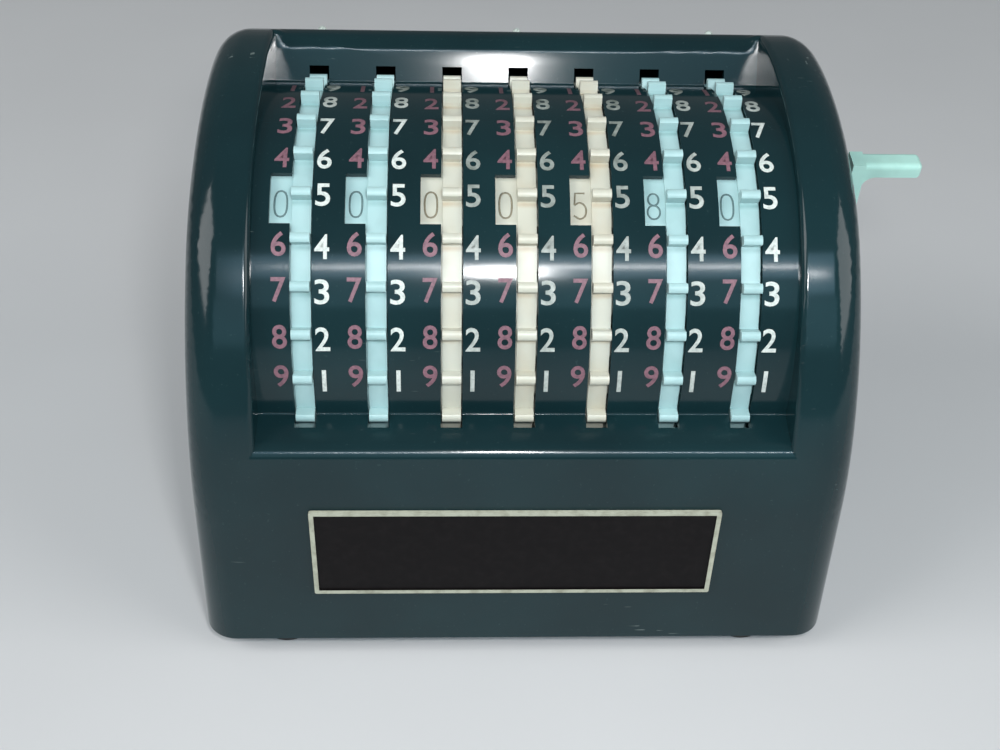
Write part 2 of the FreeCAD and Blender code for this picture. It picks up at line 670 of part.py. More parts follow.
def cutSlots(body):
    """Seven slots for the finger rims, each with a window on its left."""
    deep = "-ledgeBack - 3 * caseWall"
    high = "panelTopAngle + 6"
    slot = addOutline(
        across(body, "-wheelsHalf"),
        [
            ("panelFootY - slotFoot", "topArc"),
            ("panelFootY - slotFoot", deep),
            ("-sqrt(pow(innerRadius - 1; 2) - pow(ledgeBack + 3 * caseWall; 2))", deep),
            ("-(innerRadius - 1) * cos(%s)" % high, "(innerRadius - 1) * sin(%s)" % high),
            ("headY + slotHead * leanY + 2 * caseWall * leanZ",
             "headZ + slotHead * leanZ - 2 * caseWall * leanY"),
            ("headY + slotHead * leanY - leanZ", "headZ + slotHead * leanZ + leanY"),
            ("headY + slotHead * leanY - leanZ", "topArc"),
        ],
        {2: ("innerRadius - 1", -1)},
    )
    cut = extrude(body, "Pocket", "Slot", slot, "slotWidth", midplane=True)
    along(body, "Slots", cut, 7, "2 * wheelsHalf")
    window = addOutline(
        across(body, "-wheelsHalf - (slotWidth + windowWidth) / 2"),
        [
            radial("windowLow", "innerRadius - 1", "0"),
            radial("windowLow", "panelRadius + 1", "0"),
            radial("windowHigh", "panelRadius + 1", "0"),
            radial("windowHigh", "innerRadius - 1", "0"),
        ],
        {1: ("panelRadius + 1", -1), 3: ("innerRadius - 1", 1)},
    )
    cut = extrude(body, "Pocket", "Window", window, "windowWidth + 0.02", midplane=True)
    along(body, "Windows", cut, 7, "2 * wheelsHalf")


def addBlocks(body):
    """Screw blocks in the four corners, and the holes of the case."""
    front = "-(frontDepth - caseWall) - sunk"
    back = "backDepth - caseWall + sunk"
    for side in ("-", ""):
        sketch = level(body, "-caseBase")
        left = side + "footX - blockHalf"
        right = side + "footX + blockHalf"
        addOutline(sketch, box(left, right, front, front + " + blockLength"))
        addOutline(sketch, box(left, right, back + " - blockLength", back))
        extrude(body, "Pad", "Blocks", sketch, "blockHeight")
    places = [(side + "footX", y) for side in ("-", "") for y in ("-footFront", "footBack")]
    drill(body, "BlockHoles", level(body, "-caseBase"), places, "footScrew",
          "blockHeight - 1", reverse=True)
    tube(body, "Boss", "caseHalfWidth - caseWall", "bossProud + caseWall", "bossRadius", None)
    drill(body, "LeverHole", across(body, "bossFace"), [("0", "0")],
          "leverBushRadius", "bossProud + caseWall + 1")
    studs = level(body)
    studs.AttachmentOffset = Placement(Vector(), Rotation(Vector(1, 0, 0), worth("studAngle") - 90))
    bind(studs, ".AttachmentOffset.Base.y", "backArcY + (backArc + 1) * cos(studAngle)")
    bind(studs, ".AttachmentOffset.Base.z", "backArcZ + (backArc + 1) * sin(studAngle)")
    drill(body, "StudHoles", studs, [("-wheelsHalf", "0"), ("0", "0"), ("wheelsHalf", "0")],
          "studRadius", "caseWall + 2")


def makeCase():
    body = newBody("top_housing")
    makeShell(body)
    hollowOut(body)
    cutSlots(body)
    addBlocks(body)


def makeStuds():
    """Three studs in the crest behind the first, fourth and seventh column."""
    body = newBody("rim_studs", y="backArcY + backArc * cos(studAngle)",
                   z="backArcZ + backArc * sin(studAngle)")
    body.Placement.Rotation = Rotation(Vector(1, 0, 0), worth("studAngle") - 90)
    sketch = level(body, "-caseWall")
    for x in ("-wheelsHalf", "0", "wheelsHalf"):
        addCircle(sketch, x, "0", "studRadius")
    extrude(body, "Pad", "Studs", sketch, "caseWall + studProud")


def makePlate():
    """Bare plate on the front face, with a raised border."""
    body = newBody("name_plate")
    for name, start, inset, depth in (("Pad", "frontDepth", "0", "plateThickness"),
                                      ("Pocket", "frontDepth + plateThickness",
                                       "plateBorder", "plateSink")):
        sketch = lengthwise(body, "-(%s)" % start)
        left = "-plateLeft + " + inset
        top = "-plateTop - " + inset
        low = "-plateTop - plateHeight + " + inset
        addOutline(sketch, *roundedBox(left, "plateRight - " + inset, low, top, "plateCorner"))
        extrude(body, name, "Plate" + name, sketch, depth)


def roundedBox(left, right, low, high, radius):
    corners = [
        ("%s + %s" % (left, radius), low),
        ("%s - %s" % (right, radius), low),
        (right, "%s + %s" % (low, radius)),
        (right, "%s - %s" % (high, radius)),
        ("%s - %s" % (right, radius), high),
        ("%s + %s" % (left, radius), high),
        (left, "%s - %s" % (high, radius)),
        (left, "%s + %s" % (low, radius)),
    ]
    return corners, {index: (radius, 1) for index in (1, 3, 5, 7)}


# ---- base, feet -------------------------------------------------------------------


def makeBase():
    body = newBody("base_plate", z="-caseBase")
    side = "lowHalfWidth - baseInset"
    sketch = level(body, "-baseThickness")
    addOutline(sketch, *roundedBox("-(%s)" % side, side, "-(frontDepth - baseInset)",
                                   "backDepth - baseInset", "baseCorner"))
    extrude(body, "Pad", "Sheet", sketch, "baseThickness")
    feet = [(side + "footX", y) for side in ("-", "") for y in ("-footFront", "footBack")]
    drill(body, "FootHoles", level(body), feet, "footHole", "baseThickness")
    screws = [(a + "flangeScrewX", b + "flangeScrewY") for a in ("-", "") for b in ("-", "")]
    drill(body, "FlangeHoles", level(body), screws, "flangeScrew + 0.2", "baseThickness")


def makeFeet():
    for number, (x, y) in enumerate([("-footX", "-footFront"), ("footX", "-footFront"),
                                     ("-footX", "footBack"), ("footX", "footBack")]):
        body = newBody("foot_%d" % (number + 1), x, y, "-caseBase - baseThickness")
        turned(body, "Foot", lengthwise(body), [
            ("footHole", "0"),
            ("footRadius", "0"),
            ("footRadius - footTaper", "footEdge - footHeight"),
            ("footRadius - footTaper - footEdge", "-footHeight"),
            ("footBore", "-footHeight"),
            ("footBore", "footBoreDepth - footHeight"),
            ("footHole", "footBoreDepth - footHeight"),
        ], "V_Axis")


def screw(body, name, axis, x, y, z, radius, head, height, reach):
    """One screw whose head rests at x, y, z; reach is the length of its shank.  axis
    is the way its head looks: right, left, up, down."""
    outline = [("0", "-(%s)" % reach), (radius, "-(%s)" % reach), (radius, "0"),
               (head, "0"), (head, height), ("0", height)]
    if axis in ("left", "down"):
        outline = [(a, "-(%s)" % b) for a, b in outline]
    if axis in ("up", "down"):
        sketch = lengthwise(body, y, z)
        bind(sketch, ".AttachmentOffset.Base.x", x)
        return turned(body, name, sketch, outline, "V_Axis")
    sketch = lengthwise(body, y, z)
    bind(sketch, ".AttachmentOffset.Base.x", x)
    return turned(body, name, sketch, [(b, a) for a, b in outline])


def makeLowerScrews():
    body = newBody("foot_screws", z="-caseBase - baseThickness")
    for x in ("-footX", "footX"):
        for y in ("-footFront", "footBack"):
            screw(body, "Screw", "down", x, y, "footBoreDepth - footHeight", "footScrew",
                  "footScrewHead", "footScrewHeight",
                  "footHeight - footBoreDepth + baseThickness + blockHeight - 2")
    body = newBody("flange_screws", z="-caseBase - baseThickness")
    for x in ("-flangeScrewX", "flangeScrewX"):
        for y in ("-flangeScrewY", "flangeScrewY"):
            screw(body, "Screw", "down", x, y, "0", "flangeScrew", "flangeScrewHead",
                  "flangeScrewHeight", "baseThickness + frameThickness")


# ---- side frames and the rods between them ----------------------------------------

RODS = [("front", "rodFrontY", "rodFrontZ"),
        ("top", "rodTopY", "rodTopZ"),
        ("rear", "rodRearY", "rodRearZ")]
RAIL = ("(railFront + railBack) / 2", "(railLow + railHigh) / 2")


def makeFrames():
    for name, sign, start in (("left", "-", "-frameOuter"), ("right", "", "frameGap")):
        body = newBody("side_frame_" + name)
        outline = addOutline(across(body, start), *sideOutline("frameInset"))
        extrude(body, "Pad", "Plate", outline, "frameThickness")
        flange = level(body, "-caseBase")
        ends = sorted([sign + "flangeInner", sign + "frameOuter"], key=worth)
        addOutline(flange, box(ends[0], ends[1], "-flangeHalf", "flangeHalf"))
        extrude(body, "Pad", "Flange", flange, "frameThickness")
        face = start + " + frameThickness"
        drill(body, "BushHole", across(body, face), [("0", "0")], "bushSpigot", "frameThickness")
        holes = [(y, z) for _, y, z in RODS] + [RAIL]
        drill(body, "RodHoles", across(body, face), holes, "frameScrew + 0.1", "frameThickness")
        drill(body, "ShaftHole", across(body, face), [("pinionY", "pinionZ")],
              "shaftRadius", "frameThickness")
        holes = [(sign + "flangeScrewX", "-flangeScrewY"), (sign + "flangeScrewX", "flangeScrewY")]
        drill(body, "FlangeHoles", level(body, "-caseBase + frameThickness"), holes,
              "flangeScrew", "frameThickness")


def boreEnds(body, y, z):
    drill(body, "RightBore", across(body, "frameGap"), [(y, z)], "frameScrew", "frameScrewHole")
    drill(body, "LeftBore", across(body, "-frameGap"), [(y, z)], "frameScrew",
          "frameScrewHole", reverse=True)


def makeRods():
    for name, y, z in RODS:
        body = newBody("tie_rod_" + name, y=y, z=z)
        tube(body, "Rod", "-frameGap", "2 * frameGap", "rodRadius", None)
        boreEnds(body, "0", "0")
    body = newBody("frame_screws")
    for y, z in [(y, z) for _, y, z in RODS] + [RAIL]:
        for way, x in (("right", "frameOuter"), ("left", "-frameOuter")):
            screw(body, "Screw", way, x, y, z, "frameScrew", "frameScrewHead",
                  "frameScrewHeight", "frameThickness + frameScrewReach")


def makeDetent():
    """A rail with a comb of seven leaf springs, whose noses lie between two ribs."""
    rail = newBody("detent_rail")
    sketch = addOutline(across(rail), box("railFront", "railBack", "railLow", "railHigh"))
    extrude(rail, "Pad", "Rail", sketch, "2 * frameGap", midplane=True)
    boreEnds(rail, *RAIL)
    middle = "(railFront + railBack) / 2"
    places = [(x, middle) for x in ("-combScrewPitch", "0", "combScrewPitch")]
    drill(rail, "CombHoles", level(rail, "railHigh"), places, "combScrew", "combScrewReach + 0.5")
    comb = newBody("detent_comb")
    sketch = addOutline(across(comb), box("railFront", "railBack", "railHigh",
                                          "railHigh + combThickness"))
    extrude(comb, "Pad", "Strip", sketch, "2 * combHalfWidth", midplane=True)
    sketch = addOutline(across(comb, "-wheelsHalf"), [
        ("railFront + sunk", "railHigh"),
        ("railFront + sunk", "railHigh + combThickness"),
        ("noseBack", "leafFoot + combThickness"),
        ("(noseFront + noseBack) / 2 + noseHalf", "-noseTip"),
        ("(noseFront + noseBack) / 2 - noseHalf", "-noseTip"),
        ("noseFront", "leafFoot + combThickness"),
        ("noseFront - sunk", "leafFoot + combThickness"),
        ("noseFront - sunk", "leafFoot"),
        ("noseBack", "leafFoot"),
    ], {3: ("noseHalf * 1.5", 1)})
    leaf = extrude(comb, "Pad", "Leaf", sketch, "leafWidth", midplane=True)
    along(comb, "Leaves", leaf, 7, "2 * wheelsHalf")
    drill(comb, "CombHoles", level(comb, "railHigh + combThickness"), places,
          "combScrew + 0.1", "combThickness")
    screws = newBody("comb_screws")
    for x, y in places:
        screw(screws, "Screw", "up", x, y, "railHigh + combThickness", "combScrew",
              "combScrewHead", "combScrewHeight", "combThickness + combScrewReach")


# ---- number wheels ----------------------------------------------------------------


def makeWheel(number, shown):
    """Finger rim, digit drum, gear ring and hub in one piece.  It stands turned so that
    the shown digit lies in the window."""
    body = newBody("wheel_%d" % number, x="%d * columnPitch" % (number - 4))
    turn = shown * worth("stepAngle")
    body.Placement.Rotation = Rotation(Vector(1, 0, 0), turn)
    drum = across(body, "-drumLeft")
    addOutline(drum, ring("drumRadius", "fieldEdge"))
    addOutline(drum, ring("drumInner", "fieldEdge"))
    extrude(body, "Pad", "Drum", drum, "drumLeft + webRight")
    rim = across(body)
    addOutline(rim, ring("rimRadius", "ribAngle"))
    addOutline(rim, ring("drumRadius - sunk", "fieldEdge"))
    extrude(body, "Pad", "Rim", rim, "rimWidth", midplane=True)
    web = across(body, "webRight - webThickness")
    addOutline(web, ring("drumInner + sunk", "fieldEdge"))
    addCircle(web, "0", "0", "hubRadius - sunk")
    extrude(body, "Pad", "Web", web, "webThickness")
    gear = across(body, "webRight - sunk")
    addOutline(gear, ring("gearTip", "pinionAngle"))
    addOutline(gear, ring("gearInner", "pinionAngle"))
    extrude(body, "Pad", "GearRing", gear, "gearRight - webRight + sunk")
    turned(body, "Hub", lengthwise(body), [
        ("-hubLeft", "boreRadius"),
        ("-hubLeft", "hubRadius"),
        ("hubRight", "hubRadius"),
        ("hubRight", "chamberRadius"),
        ("hubRight - chamberDepth", "chamberRadius"),
        ("hubRight - chamberDepth", "boreRadius"),
    ])
    rib = addOutline(across(body), [
        radial("ribAngle", "rimRadius - sunk", "-ribHalf"),
        radial("ribAngle", "crestStart", "-ribHalf"),
        radial("ribAngle", "crestStart", "ribHalf"),
        radial("ribAngle", "rimRadius - sunk", "ribHalf"),
    ], {1: ("ribCrest", 1)})
    pad = extrude(body, "Pad", "Rib", rib, "rimWidth", midplane=True)
    around(body, "Ribs", pad, "stepCount")
    spread = " + spaceSpread * 1"
    space = addOutline(across(body, "gearRight"), [
        radial("pinionAngle - 180", "gearRoot", "-spaceRootHalf"),
        radial("pinionAngle - 180", "gearTip + 1", "-(spaceTipHalf%s)" % spread),
        radial("pinionAngle - 180", "gearTip + 1", "spaceTipHalf%s" % spread),
        radial("pinionAngle - 180", "gearRoot", "spaceRootHalf"),
    ])
    cut = extrude(body, "Pocket", "ToothSpace", space, "gearRight - webRight")
    around(body, "ToothSpaces", cut, "stepCount")
    finger = addOutline(across(body, "-fingerLeft"), [
        radial("fingerAngle", "fingerBase", "-fingerBaseHalf"),
        radial("fingerAngle", "gearTip - 0.1", "-fingerTipHalf"),
        radial("fingerAngle", "gearTip - 0.1", "fingerTipHalf"),
        radial("fingerAngle", "fingerBase", "fingerBaseHalf"),
    ])
    pad = extrude(body, "Pad", "Finger", finger, "fingerLeft - drumLeft + sunk")
    around(body, "Fingers", pad, 3)
    notch = addOutline(across(body, "hubRight"), [
        radial("0", "chamberRadius - sunk", "-notchHalf"),
        radial("0", "notchRadius", "-notchHalf"),
        radial("0", "notchRadius", "notchHalf"),
        radial("0", "chamberRadius - sunk", "notchHalf"),
    ])
    cut = extrude(body, "Pocket", "Notch", notch, "chamberDepth")
    around(body, "Notches", cut, 3)


def makePinion(number):
    """Carry pinion between two wheels.  Its left half is driven by the left wheel's
    ring, and its right half is met by the carry fingers of the right wheel."""
    body = newBody("pinion_%d" % number, "%d * columnPitch + pinionStart" % (number - 4),
                   "pinionY", "pinionZ")
    tube(body, "Hub", "0", "pinionLength", "pinionRoot", "shaftRadius + runningGap")
    for name, start, length, tip in (("Driving", "0", "pinionDriving", "pinionTip"),
                                     ("Carry", "pinionDriving",
                                      "pinionLength - pinionDriving", "carryTip")):
        half = "toothTipHalf + toothSpread * (pinionTip - %s)" % tip
        root = "toothRootHalf + toothSpread * sunk"
        tooth = addOutline(across(body, start), [
            radial("pinionAngle", "pinionRoot - sunk", "-(%s)" % root),
            radial("pinionAngle", tip, "-(%s)" % half),
            radial("pinionAngle", tip, half),
            radial("pinionAngle", "pinionRoot - sunk", root),
        ])
        pad = extrude(body, "Pad", name + "Tooth", tooth, length)
        around(body, name + "Teeth", pad, "pinionTeeth")


def makeCarryShaft():
    body = newBody("carry_shaft", y="pinionY", z="pinionZ")
    tube(body, "Shaft", "-shaftHalf", "2 * shaftHalf", "shaftRadius", None)
    body = newBody("shaft_clips", y="pinionY", z="pinionZ")
    for start in ("-frameOuter - clipThickness", "frameOuter"):
        tube(body, "Clip", start, "clipThickness", "shaftClip", "shaftRadius")
    body = newBody("pinion_spacers", y="pinionY", z="pinionZ")
    ends = ["-frameGap"]
    for column in range(-3, 3):
        ends.append("%d * columnPitch + pinionStart - spacerGap" % column)
        ends.append("%d * columnPitch + pinionStart + pinionLength + spacerGap" % column)
    ends.append("frameGap")
    for index in range(0, len(ends), 2):
        tube(body, "Spacer", ends[index], "%s - (%s)" % (ends[index + 1], ends[index]),
             "spacerRadius", "shaftRadius")


# ---- axle and clearing lever ------------------------------------------------------


def makeAxle():
    body = newBody("main_axle")
    tube(body, "Axle", "axleLeft", "leverEnd - axleLeft", "axleRadius", None)
    drill(body, "EndBore", across(body, "leverEnd"), [("0", "0")], "leverScrew",
          "leverScrewReach + 2")
    body = newBody("axle_clip")
    tube(body, "Clip", "-frameOuter - bushProud - clipThickness", "clipThickness",
         "clipRadius", "axleRadius")
    body = newBody("zero_catches")
    start = "-wheelsHalf + hubRight - (chamberDepth + catchLength) / 2"
    ring = tube(body, "Collar", start, "catchLength", "catchCollar", "axleRadius")
    tip = addOutline(across(body, start), [
        radial("0", "catchCollar - 0.4", "-catchHalf"),
        radial("0", "catchTip", "-catchHalf / 2"),
        radial("0", "catchTip", "catchHalf / 2"),
        radial("0", "catchCollar - 0.4", "catchHalf"),
    ])
    nose = extrude(body, "Pad", "Nose", tip, "catchLength")
    pattern = along(body, "Catches", ring, 7, "2 * wheelsHalf")
    pattern.Originals = [ring, nose]
    doc.recompute()
    for name, edge, hub in (
            ("left", "-wheelsHalf - hubLeft - hubGap", "-frameOuter - bushProud"),
            ("right", "wheelsHalf + hubRight + hubGap", "frameOuter + bushProud")):
        body = newBody("axle_bush_" + name)
        sign = "-" if name == "left" else ""
        turned(body, "Bush", lengthwise(body), [
            (edge, "boreRadius"),
            (edge, "bushRadius"),
            (sign + "frameGap", "bushRadius"),
            (sign + "frameGap", "bushSpigot"),
            (hub, "bushSpigot"),
            (hub, "boreRadius"),
        ])


def makeLever():
    """Clearing lever with a thumb tab, on the right-hand end of the axle."""
    bush = newBody("lever_bush")
    turned(bush, "Bush", lengthwise(bush), [
        ("bushStart", "boreRadius"),
        ("bushStart", "leverBushRadius"),
        ("bossFace", "leverBushRadius"),
        ("bossFace", "leverFlange"),
        ("bossFace + leverFlangeThickness", "leverFlange"),
        ("bossFace + leverFlangeThickness", "boreRadius"),
    ])
    body = newBody("clear_lever")
    tube(body, "Hub", "leverStart", "leverThickness", "leverHub", None)
    half = "tabThickness / 2"
    arm = addOutline(across(body, "leverStart"), [
        radial("leverAngle", "0", "-leverHalf"),
        radial("leverAngle", "leverReach + %s" % half, "-tabHalf"),
        radial("leverAngle", "leverReach + %s" % half, "tabHalf"),
        radial("leverAngle", "0", "leverHalf"),
    ])
    extrude(body, "Pad", "Arm", arm, "leverThickness")
    tab = addOutline(across(body, "leverStart"), [
        radial("leverAngle", "leverReach - %s" % half, "-tabHalf"),
        radial("leverAngle", "leverReach + %s" % half, "-tabHalf"),
        radial("leverAngle", "leverReach + %s" % half, "tabHalf"),
        radial("leverAngle", "leverReach - %s" % half, "tabHalf"),
    ])
    extrude(body, "Pad", "Tab", tab, "tabEnd - leverStart")
    outer = worth("leverEnd")
    low = worth("leverReach - %s" % half)
    lean = math.radians(worth("leverAngle"))
    height = lambda e: middleOf(e).z * math.sin(lean) - middleOf(e).y * math.cos(lean)
    roundEdges(body, "TabFoot", "tabFillet",
               lambda e: e.BoundBox.XLength < 0.01 and abs(middleOf(e).x - outer) < 0.01
               and abs(height(e) - low) < 0.1)
    roundEdges(body, "TabEdges", "tabRounding",
               lambda e: e.BoundBox.XLength < 0.01
               and abs(middleOf(e).x - worth("tabEnd")) < 0.01
               or e.BoundBox.XLength > 0.6 * worth("tabEnd - leverEnd")
               and middleOf(e).x > outer and height(e) > worth("leverReach"))
    drill(body, "AxleHole", across(body, "leverEnd"), [("0", "0")], "axleRadius",
          "leverThickness")
    body = newBody("lever_screw")
    screw(body, "Screw", "right", "leverEnd", "0", "0", "leverScrew", "leverScrewHead",
          "leverScrewHeight", "leverScrewReach")


def makeSpring():
    """Flat spiral spring on the axle, between the right side frame and the lever's bush.
    Each half turn is an arc, and the next one stands further out by half the pitch."""
    body = newBody("return_spring")
    start = "axleRadius + springGap + %d * springPitch / 2"
    inside, outside, arcs = [], [], {}
    for turn in range(8):
        sign = "" if turn % 2 else "-"
        # the strip's two faces where half turns meet, in front of the axle and behind it
        inside.append(("%s(%s)" % (sign, start % turn), "0"))
        outside.append(("%s(%s + springStrip)" % (sign, start % turn), "0"))
    outline = across(body, "frameOuter + bushProud + springGap")
    corners = inside + outside[::-1]
    for turn in range(7):
        arcs[turn] = (None, -1)
        arcs[len(corners) - 2 - turn] = (None, 1)
    addOutline(outline, corners, arcs)
    extrude(body, "Pad", "Strip", outline, "bushStart - frameOuter - bushProud - 2 * springGap")


# ---- the whole machine ------------------------------------------------------------


def checkAndWrite():
    """Stops at the first faulty feature or shape, then writes one file for each body."""
    for item in doc.Objects:
        if {"Invalid", "Error"} & set(item.State):
            raise ValueError("%s of %s failed" % (item.Label, item.getParent()))
    os.makedirs("parts", exist_ok=True)
    for body in PARTS:
        if body.Shape.isNull() or not body.Shape.isValid():
            raise ValueError("%s has no sound shape" % body.Label)
        body.Shape.exportStep("parts/%s.step" % body.Label)


fillSheet()
makeCase()
makeStuds()
makePlate()
makeBase()
makeFeet()
makeLowerScrews()
makeFrames()
makeRods()
makeDetent()
for place, digit in enumerate(SHOWN):
    makeWheel(place + 1, digit)
for place in range(1, len(SHOWN)):
    makePinion(place)
makeCarryShaft()
makeAxle()
makeLever()
makeSpring()
checkAndWrite()
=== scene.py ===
import json
import bmesh
import bpy
from math import cos, pi, radians, sin
from mathutils import Matrix, Vector


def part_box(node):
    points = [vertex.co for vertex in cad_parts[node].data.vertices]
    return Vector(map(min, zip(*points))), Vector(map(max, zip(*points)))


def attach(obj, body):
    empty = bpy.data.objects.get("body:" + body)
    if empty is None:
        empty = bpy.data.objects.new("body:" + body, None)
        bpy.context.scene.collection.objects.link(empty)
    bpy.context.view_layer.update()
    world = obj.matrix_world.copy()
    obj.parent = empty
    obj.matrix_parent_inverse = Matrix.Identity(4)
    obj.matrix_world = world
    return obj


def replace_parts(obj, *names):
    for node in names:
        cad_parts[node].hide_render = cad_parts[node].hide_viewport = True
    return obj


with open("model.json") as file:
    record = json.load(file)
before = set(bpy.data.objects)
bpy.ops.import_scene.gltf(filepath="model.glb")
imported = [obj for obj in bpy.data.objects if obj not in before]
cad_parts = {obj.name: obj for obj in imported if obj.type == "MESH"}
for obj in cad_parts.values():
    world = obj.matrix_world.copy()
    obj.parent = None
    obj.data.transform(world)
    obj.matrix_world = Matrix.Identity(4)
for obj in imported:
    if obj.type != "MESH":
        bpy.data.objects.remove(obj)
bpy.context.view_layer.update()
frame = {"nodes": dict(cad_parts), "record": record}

mm = 0.001

# millimetres and degrees; the axle runs along X, and angles count from the front upwards
machine = {
    "axle": Vector((-8.303, 3.25, 68.5)),
    "columns": 7,
    "middleColumn": 4,
    "pitch": 16.0,
    "step": 12.0,  # from one rib or digit of a wheel to the next
    "shown": [0, 0, 0, 0, 5, 8, 0],
    "creamWheels": [3, 4, 5],
    "ribAngle": 56.4,
}


def onDrum(x, radius, angle):
    a = radians(angle)
    spot = machine["axle"] + Vector((x, -radius * cos(a), radius * sin(a)))
    return spot * mm


def columnX(number):
    return (number - machine["middleColumn"]) * machine["pitch"]


# materials are node trees, and each helper below adds a node or two


def newMaterial(name):
    material = bpy.data.materials.new(name)
    material.use_nodes = True
    tree = material.node_tree
    shader = tree.nodes["Principled BSDF"]
    return material, tree, shader


def addNode(tree, kind, inputs, **settings):
    node = tree.nodes.new(kind)
    for key, value in settings.items():
        setattr(node, key, value)
    for key, value in inputs.items():
        if isinstance(value, bpy.types.NodeSocket):
            tree.links.new(value, node.inputs[key])
        else:
            node.inputs[key].default_value = value
    return node


def objectPoint(tree, scale=(1, 1, 1), rotation=(0, 0, 0)):
    place = addNode(tree, "ShaderNodeTexCoord", {})
    mapping = addNode(tree, "ShaderNodeMapping", {
        "Vector": place.outputs["Object"], "Scale": scale, "Rotation": rotation})
    return mapping.outputs["Vector"]


def noise(tree, spot, scale, detail):
    node = addNode(tree, "ShaderNodeTexNoise", {
        "Vector": spot, "Scale": scale, "Detail": detail})
    return node.outputs["Fac"]


def blend(tree, value, low, high, least=0, most=1):
    # a grey that goes from least to most while the value goes from low to high
    node = addNode(tree, "ShaderNodeValToRGB", {"Fac": value})
    stops = zip(node.color_ramp.elements, (low, high), (least, most))
    for element, position, level in stops:
        element.position = position
        element.color = (level, level, level, 1)
    return node.outputs["Color"]


def patches(tree, spot, scale, detail, low, high, least=0, most=1):
    return blend(tree, noise(tree, spot, scale, detail), low, high, least, most)


def mixed(tree, factor, first, second):
    # sockets 0, 6 and 7 of a colour mix are its factor and its two colours
    colours = [value if isinstance(value, bpy.types.NodeSocket) else (*value, 1)
               for value in (first, second)]
    node = addNode(tree, "ShaderNodeMix", {}, data_type="RGBA")
    for key, value in ((0, factor), (6, colours[0]), (7, colours[1])):
        if isinstance(value, bpy.types.NodeSocket):
            tree.links.new(value, node.inputs[key])
        else:
            node.inputs[key].default_value = value
    return node.outputs[2]


def maths(tree, operation, *values):
    node = addNode(tree, "ShaderNodeMath", dict(enumerate(values)), operation=operation)
    return node.outputs[0]


def between(tree, value, low, high):
    # 1 inside the range, 0 outside
    return maths(tree, "MULTIPLY", maths(tree, "GREATER_THAN", value, low),
                 maths(tree, "LESS_THAN", value, high))


def slope(tree, value, start, end, first, last):
    # goes straight from first to last while the value goes from start to end
    node = addNode(tree, "ShaderNodeMapRange", {
        "Value": value, "From Min": start, "From Max": end, "To Min": first, "To Max": last})
    return node.outputs[0]


def roughen(tree, shader, pattern, least, spread):
    rough = maths(tree, "MULTIPLY_ADD", pattern, spread, least)
    tree.links.new(rough, shader.inputs["Roughness"])


def bump(tree, shader, height, strength, distance):
    node = addNode(tree, "ShaderNodeBump", {
        "Height": height, "Strength": strength, "Distance": distance})
    tree.links.new(node.outputs["Normal"], shader.inputs["Normal"])


def aboutAxle(tree):
    # X from the middle column, distance from the axle, and angle from the front upwards
    parts = addNode(tree, "ShaderNodeSeparateXYZ", {"Vector": objectPoint(tree)})
    axle = machine["axle"] * mm
    x = maths(tree, "SUBTRACT", parts.outputs["X"], axle.x)
    ahead = maths(tree, "SUBTRACT", axle.y, parts.outputs["Y"])
    up = maths(tree, "SUBTRACT", parts.outputs["Z"], axle.z)
    reach = maths(tree, "SQRT", maths(tree, "ADD", maths(tree, "MULTIPLY", ahead, ahead),
                                      maths(tree, "MULTIPLY", up, up)))
    angle = maths(tree, "MULTIPLY", maths(tree, "ARCTAN2", up, ahead), 180 / pi)
    return x, reach, angle


def srgb(red, green, blue):
    def linear(value):
        value /= 255
        return value / 12.92 if value <= 0.04045 else ((value + 0.055) / 1.055) ** 2.4
    return (linear(red), linear(green), linear(blue))


# in the patterns below, the numbers are a noise's scale and detail, and the two noise
# values between which the pattern grows from nothing to its full strength

casePlastic = {
    "colour": srgb(20, 46, 50),
    "shade": srgb(16, 39, 43),
    "shadeFrom": 0.35,
    "shadeTo": 0.65,
    "dust": srgb(56, 78, 78),
    "dustSpecks": (1300, 2, 0.68, 0.76),
    "dustAmount": 0.3,
    "scuff": srgb(128, 140, 136),
    "scuffAmount": 0.55,
    "scuffs": (560, 1, 0.72, 0.77),
    "scuffStretch": (0.3, 2.4, 2.4),
    "scuffTurn": (0, 0, 0.5),
    "scuffedPlaces": (44, 2, 0.62, 0.72),
    "nicks": (620, 3, 0.56, 0.66),
    "rubFrom": 1.95,  # millimetres from a slot's middle
    "rubTo": 3.3,
    "headAngles": (100, 112),
    "headReach": (0.0475, 0.0560),  # metres from the axle
    "footAngles": (-7, -4.5),
    "footReach": (0.0475, 0.0505),
    "roughness": 0.13,
    "specular": 0.35,
    "waviness": 0.06,
}


def slotMiddles(tree, x):
    # distance from the middle of the nearest slot
    pitch = machine["pitch"] * mm
    across = maths(tree, "ADD", x, (machine["middleColumn"] + 0.5) * pitch)
    return maths(tree, "ABSOLUTE", maths(tree, "SUBTRACT", maths(
        tree, "MODULO", across, pitch), pitch / 2))


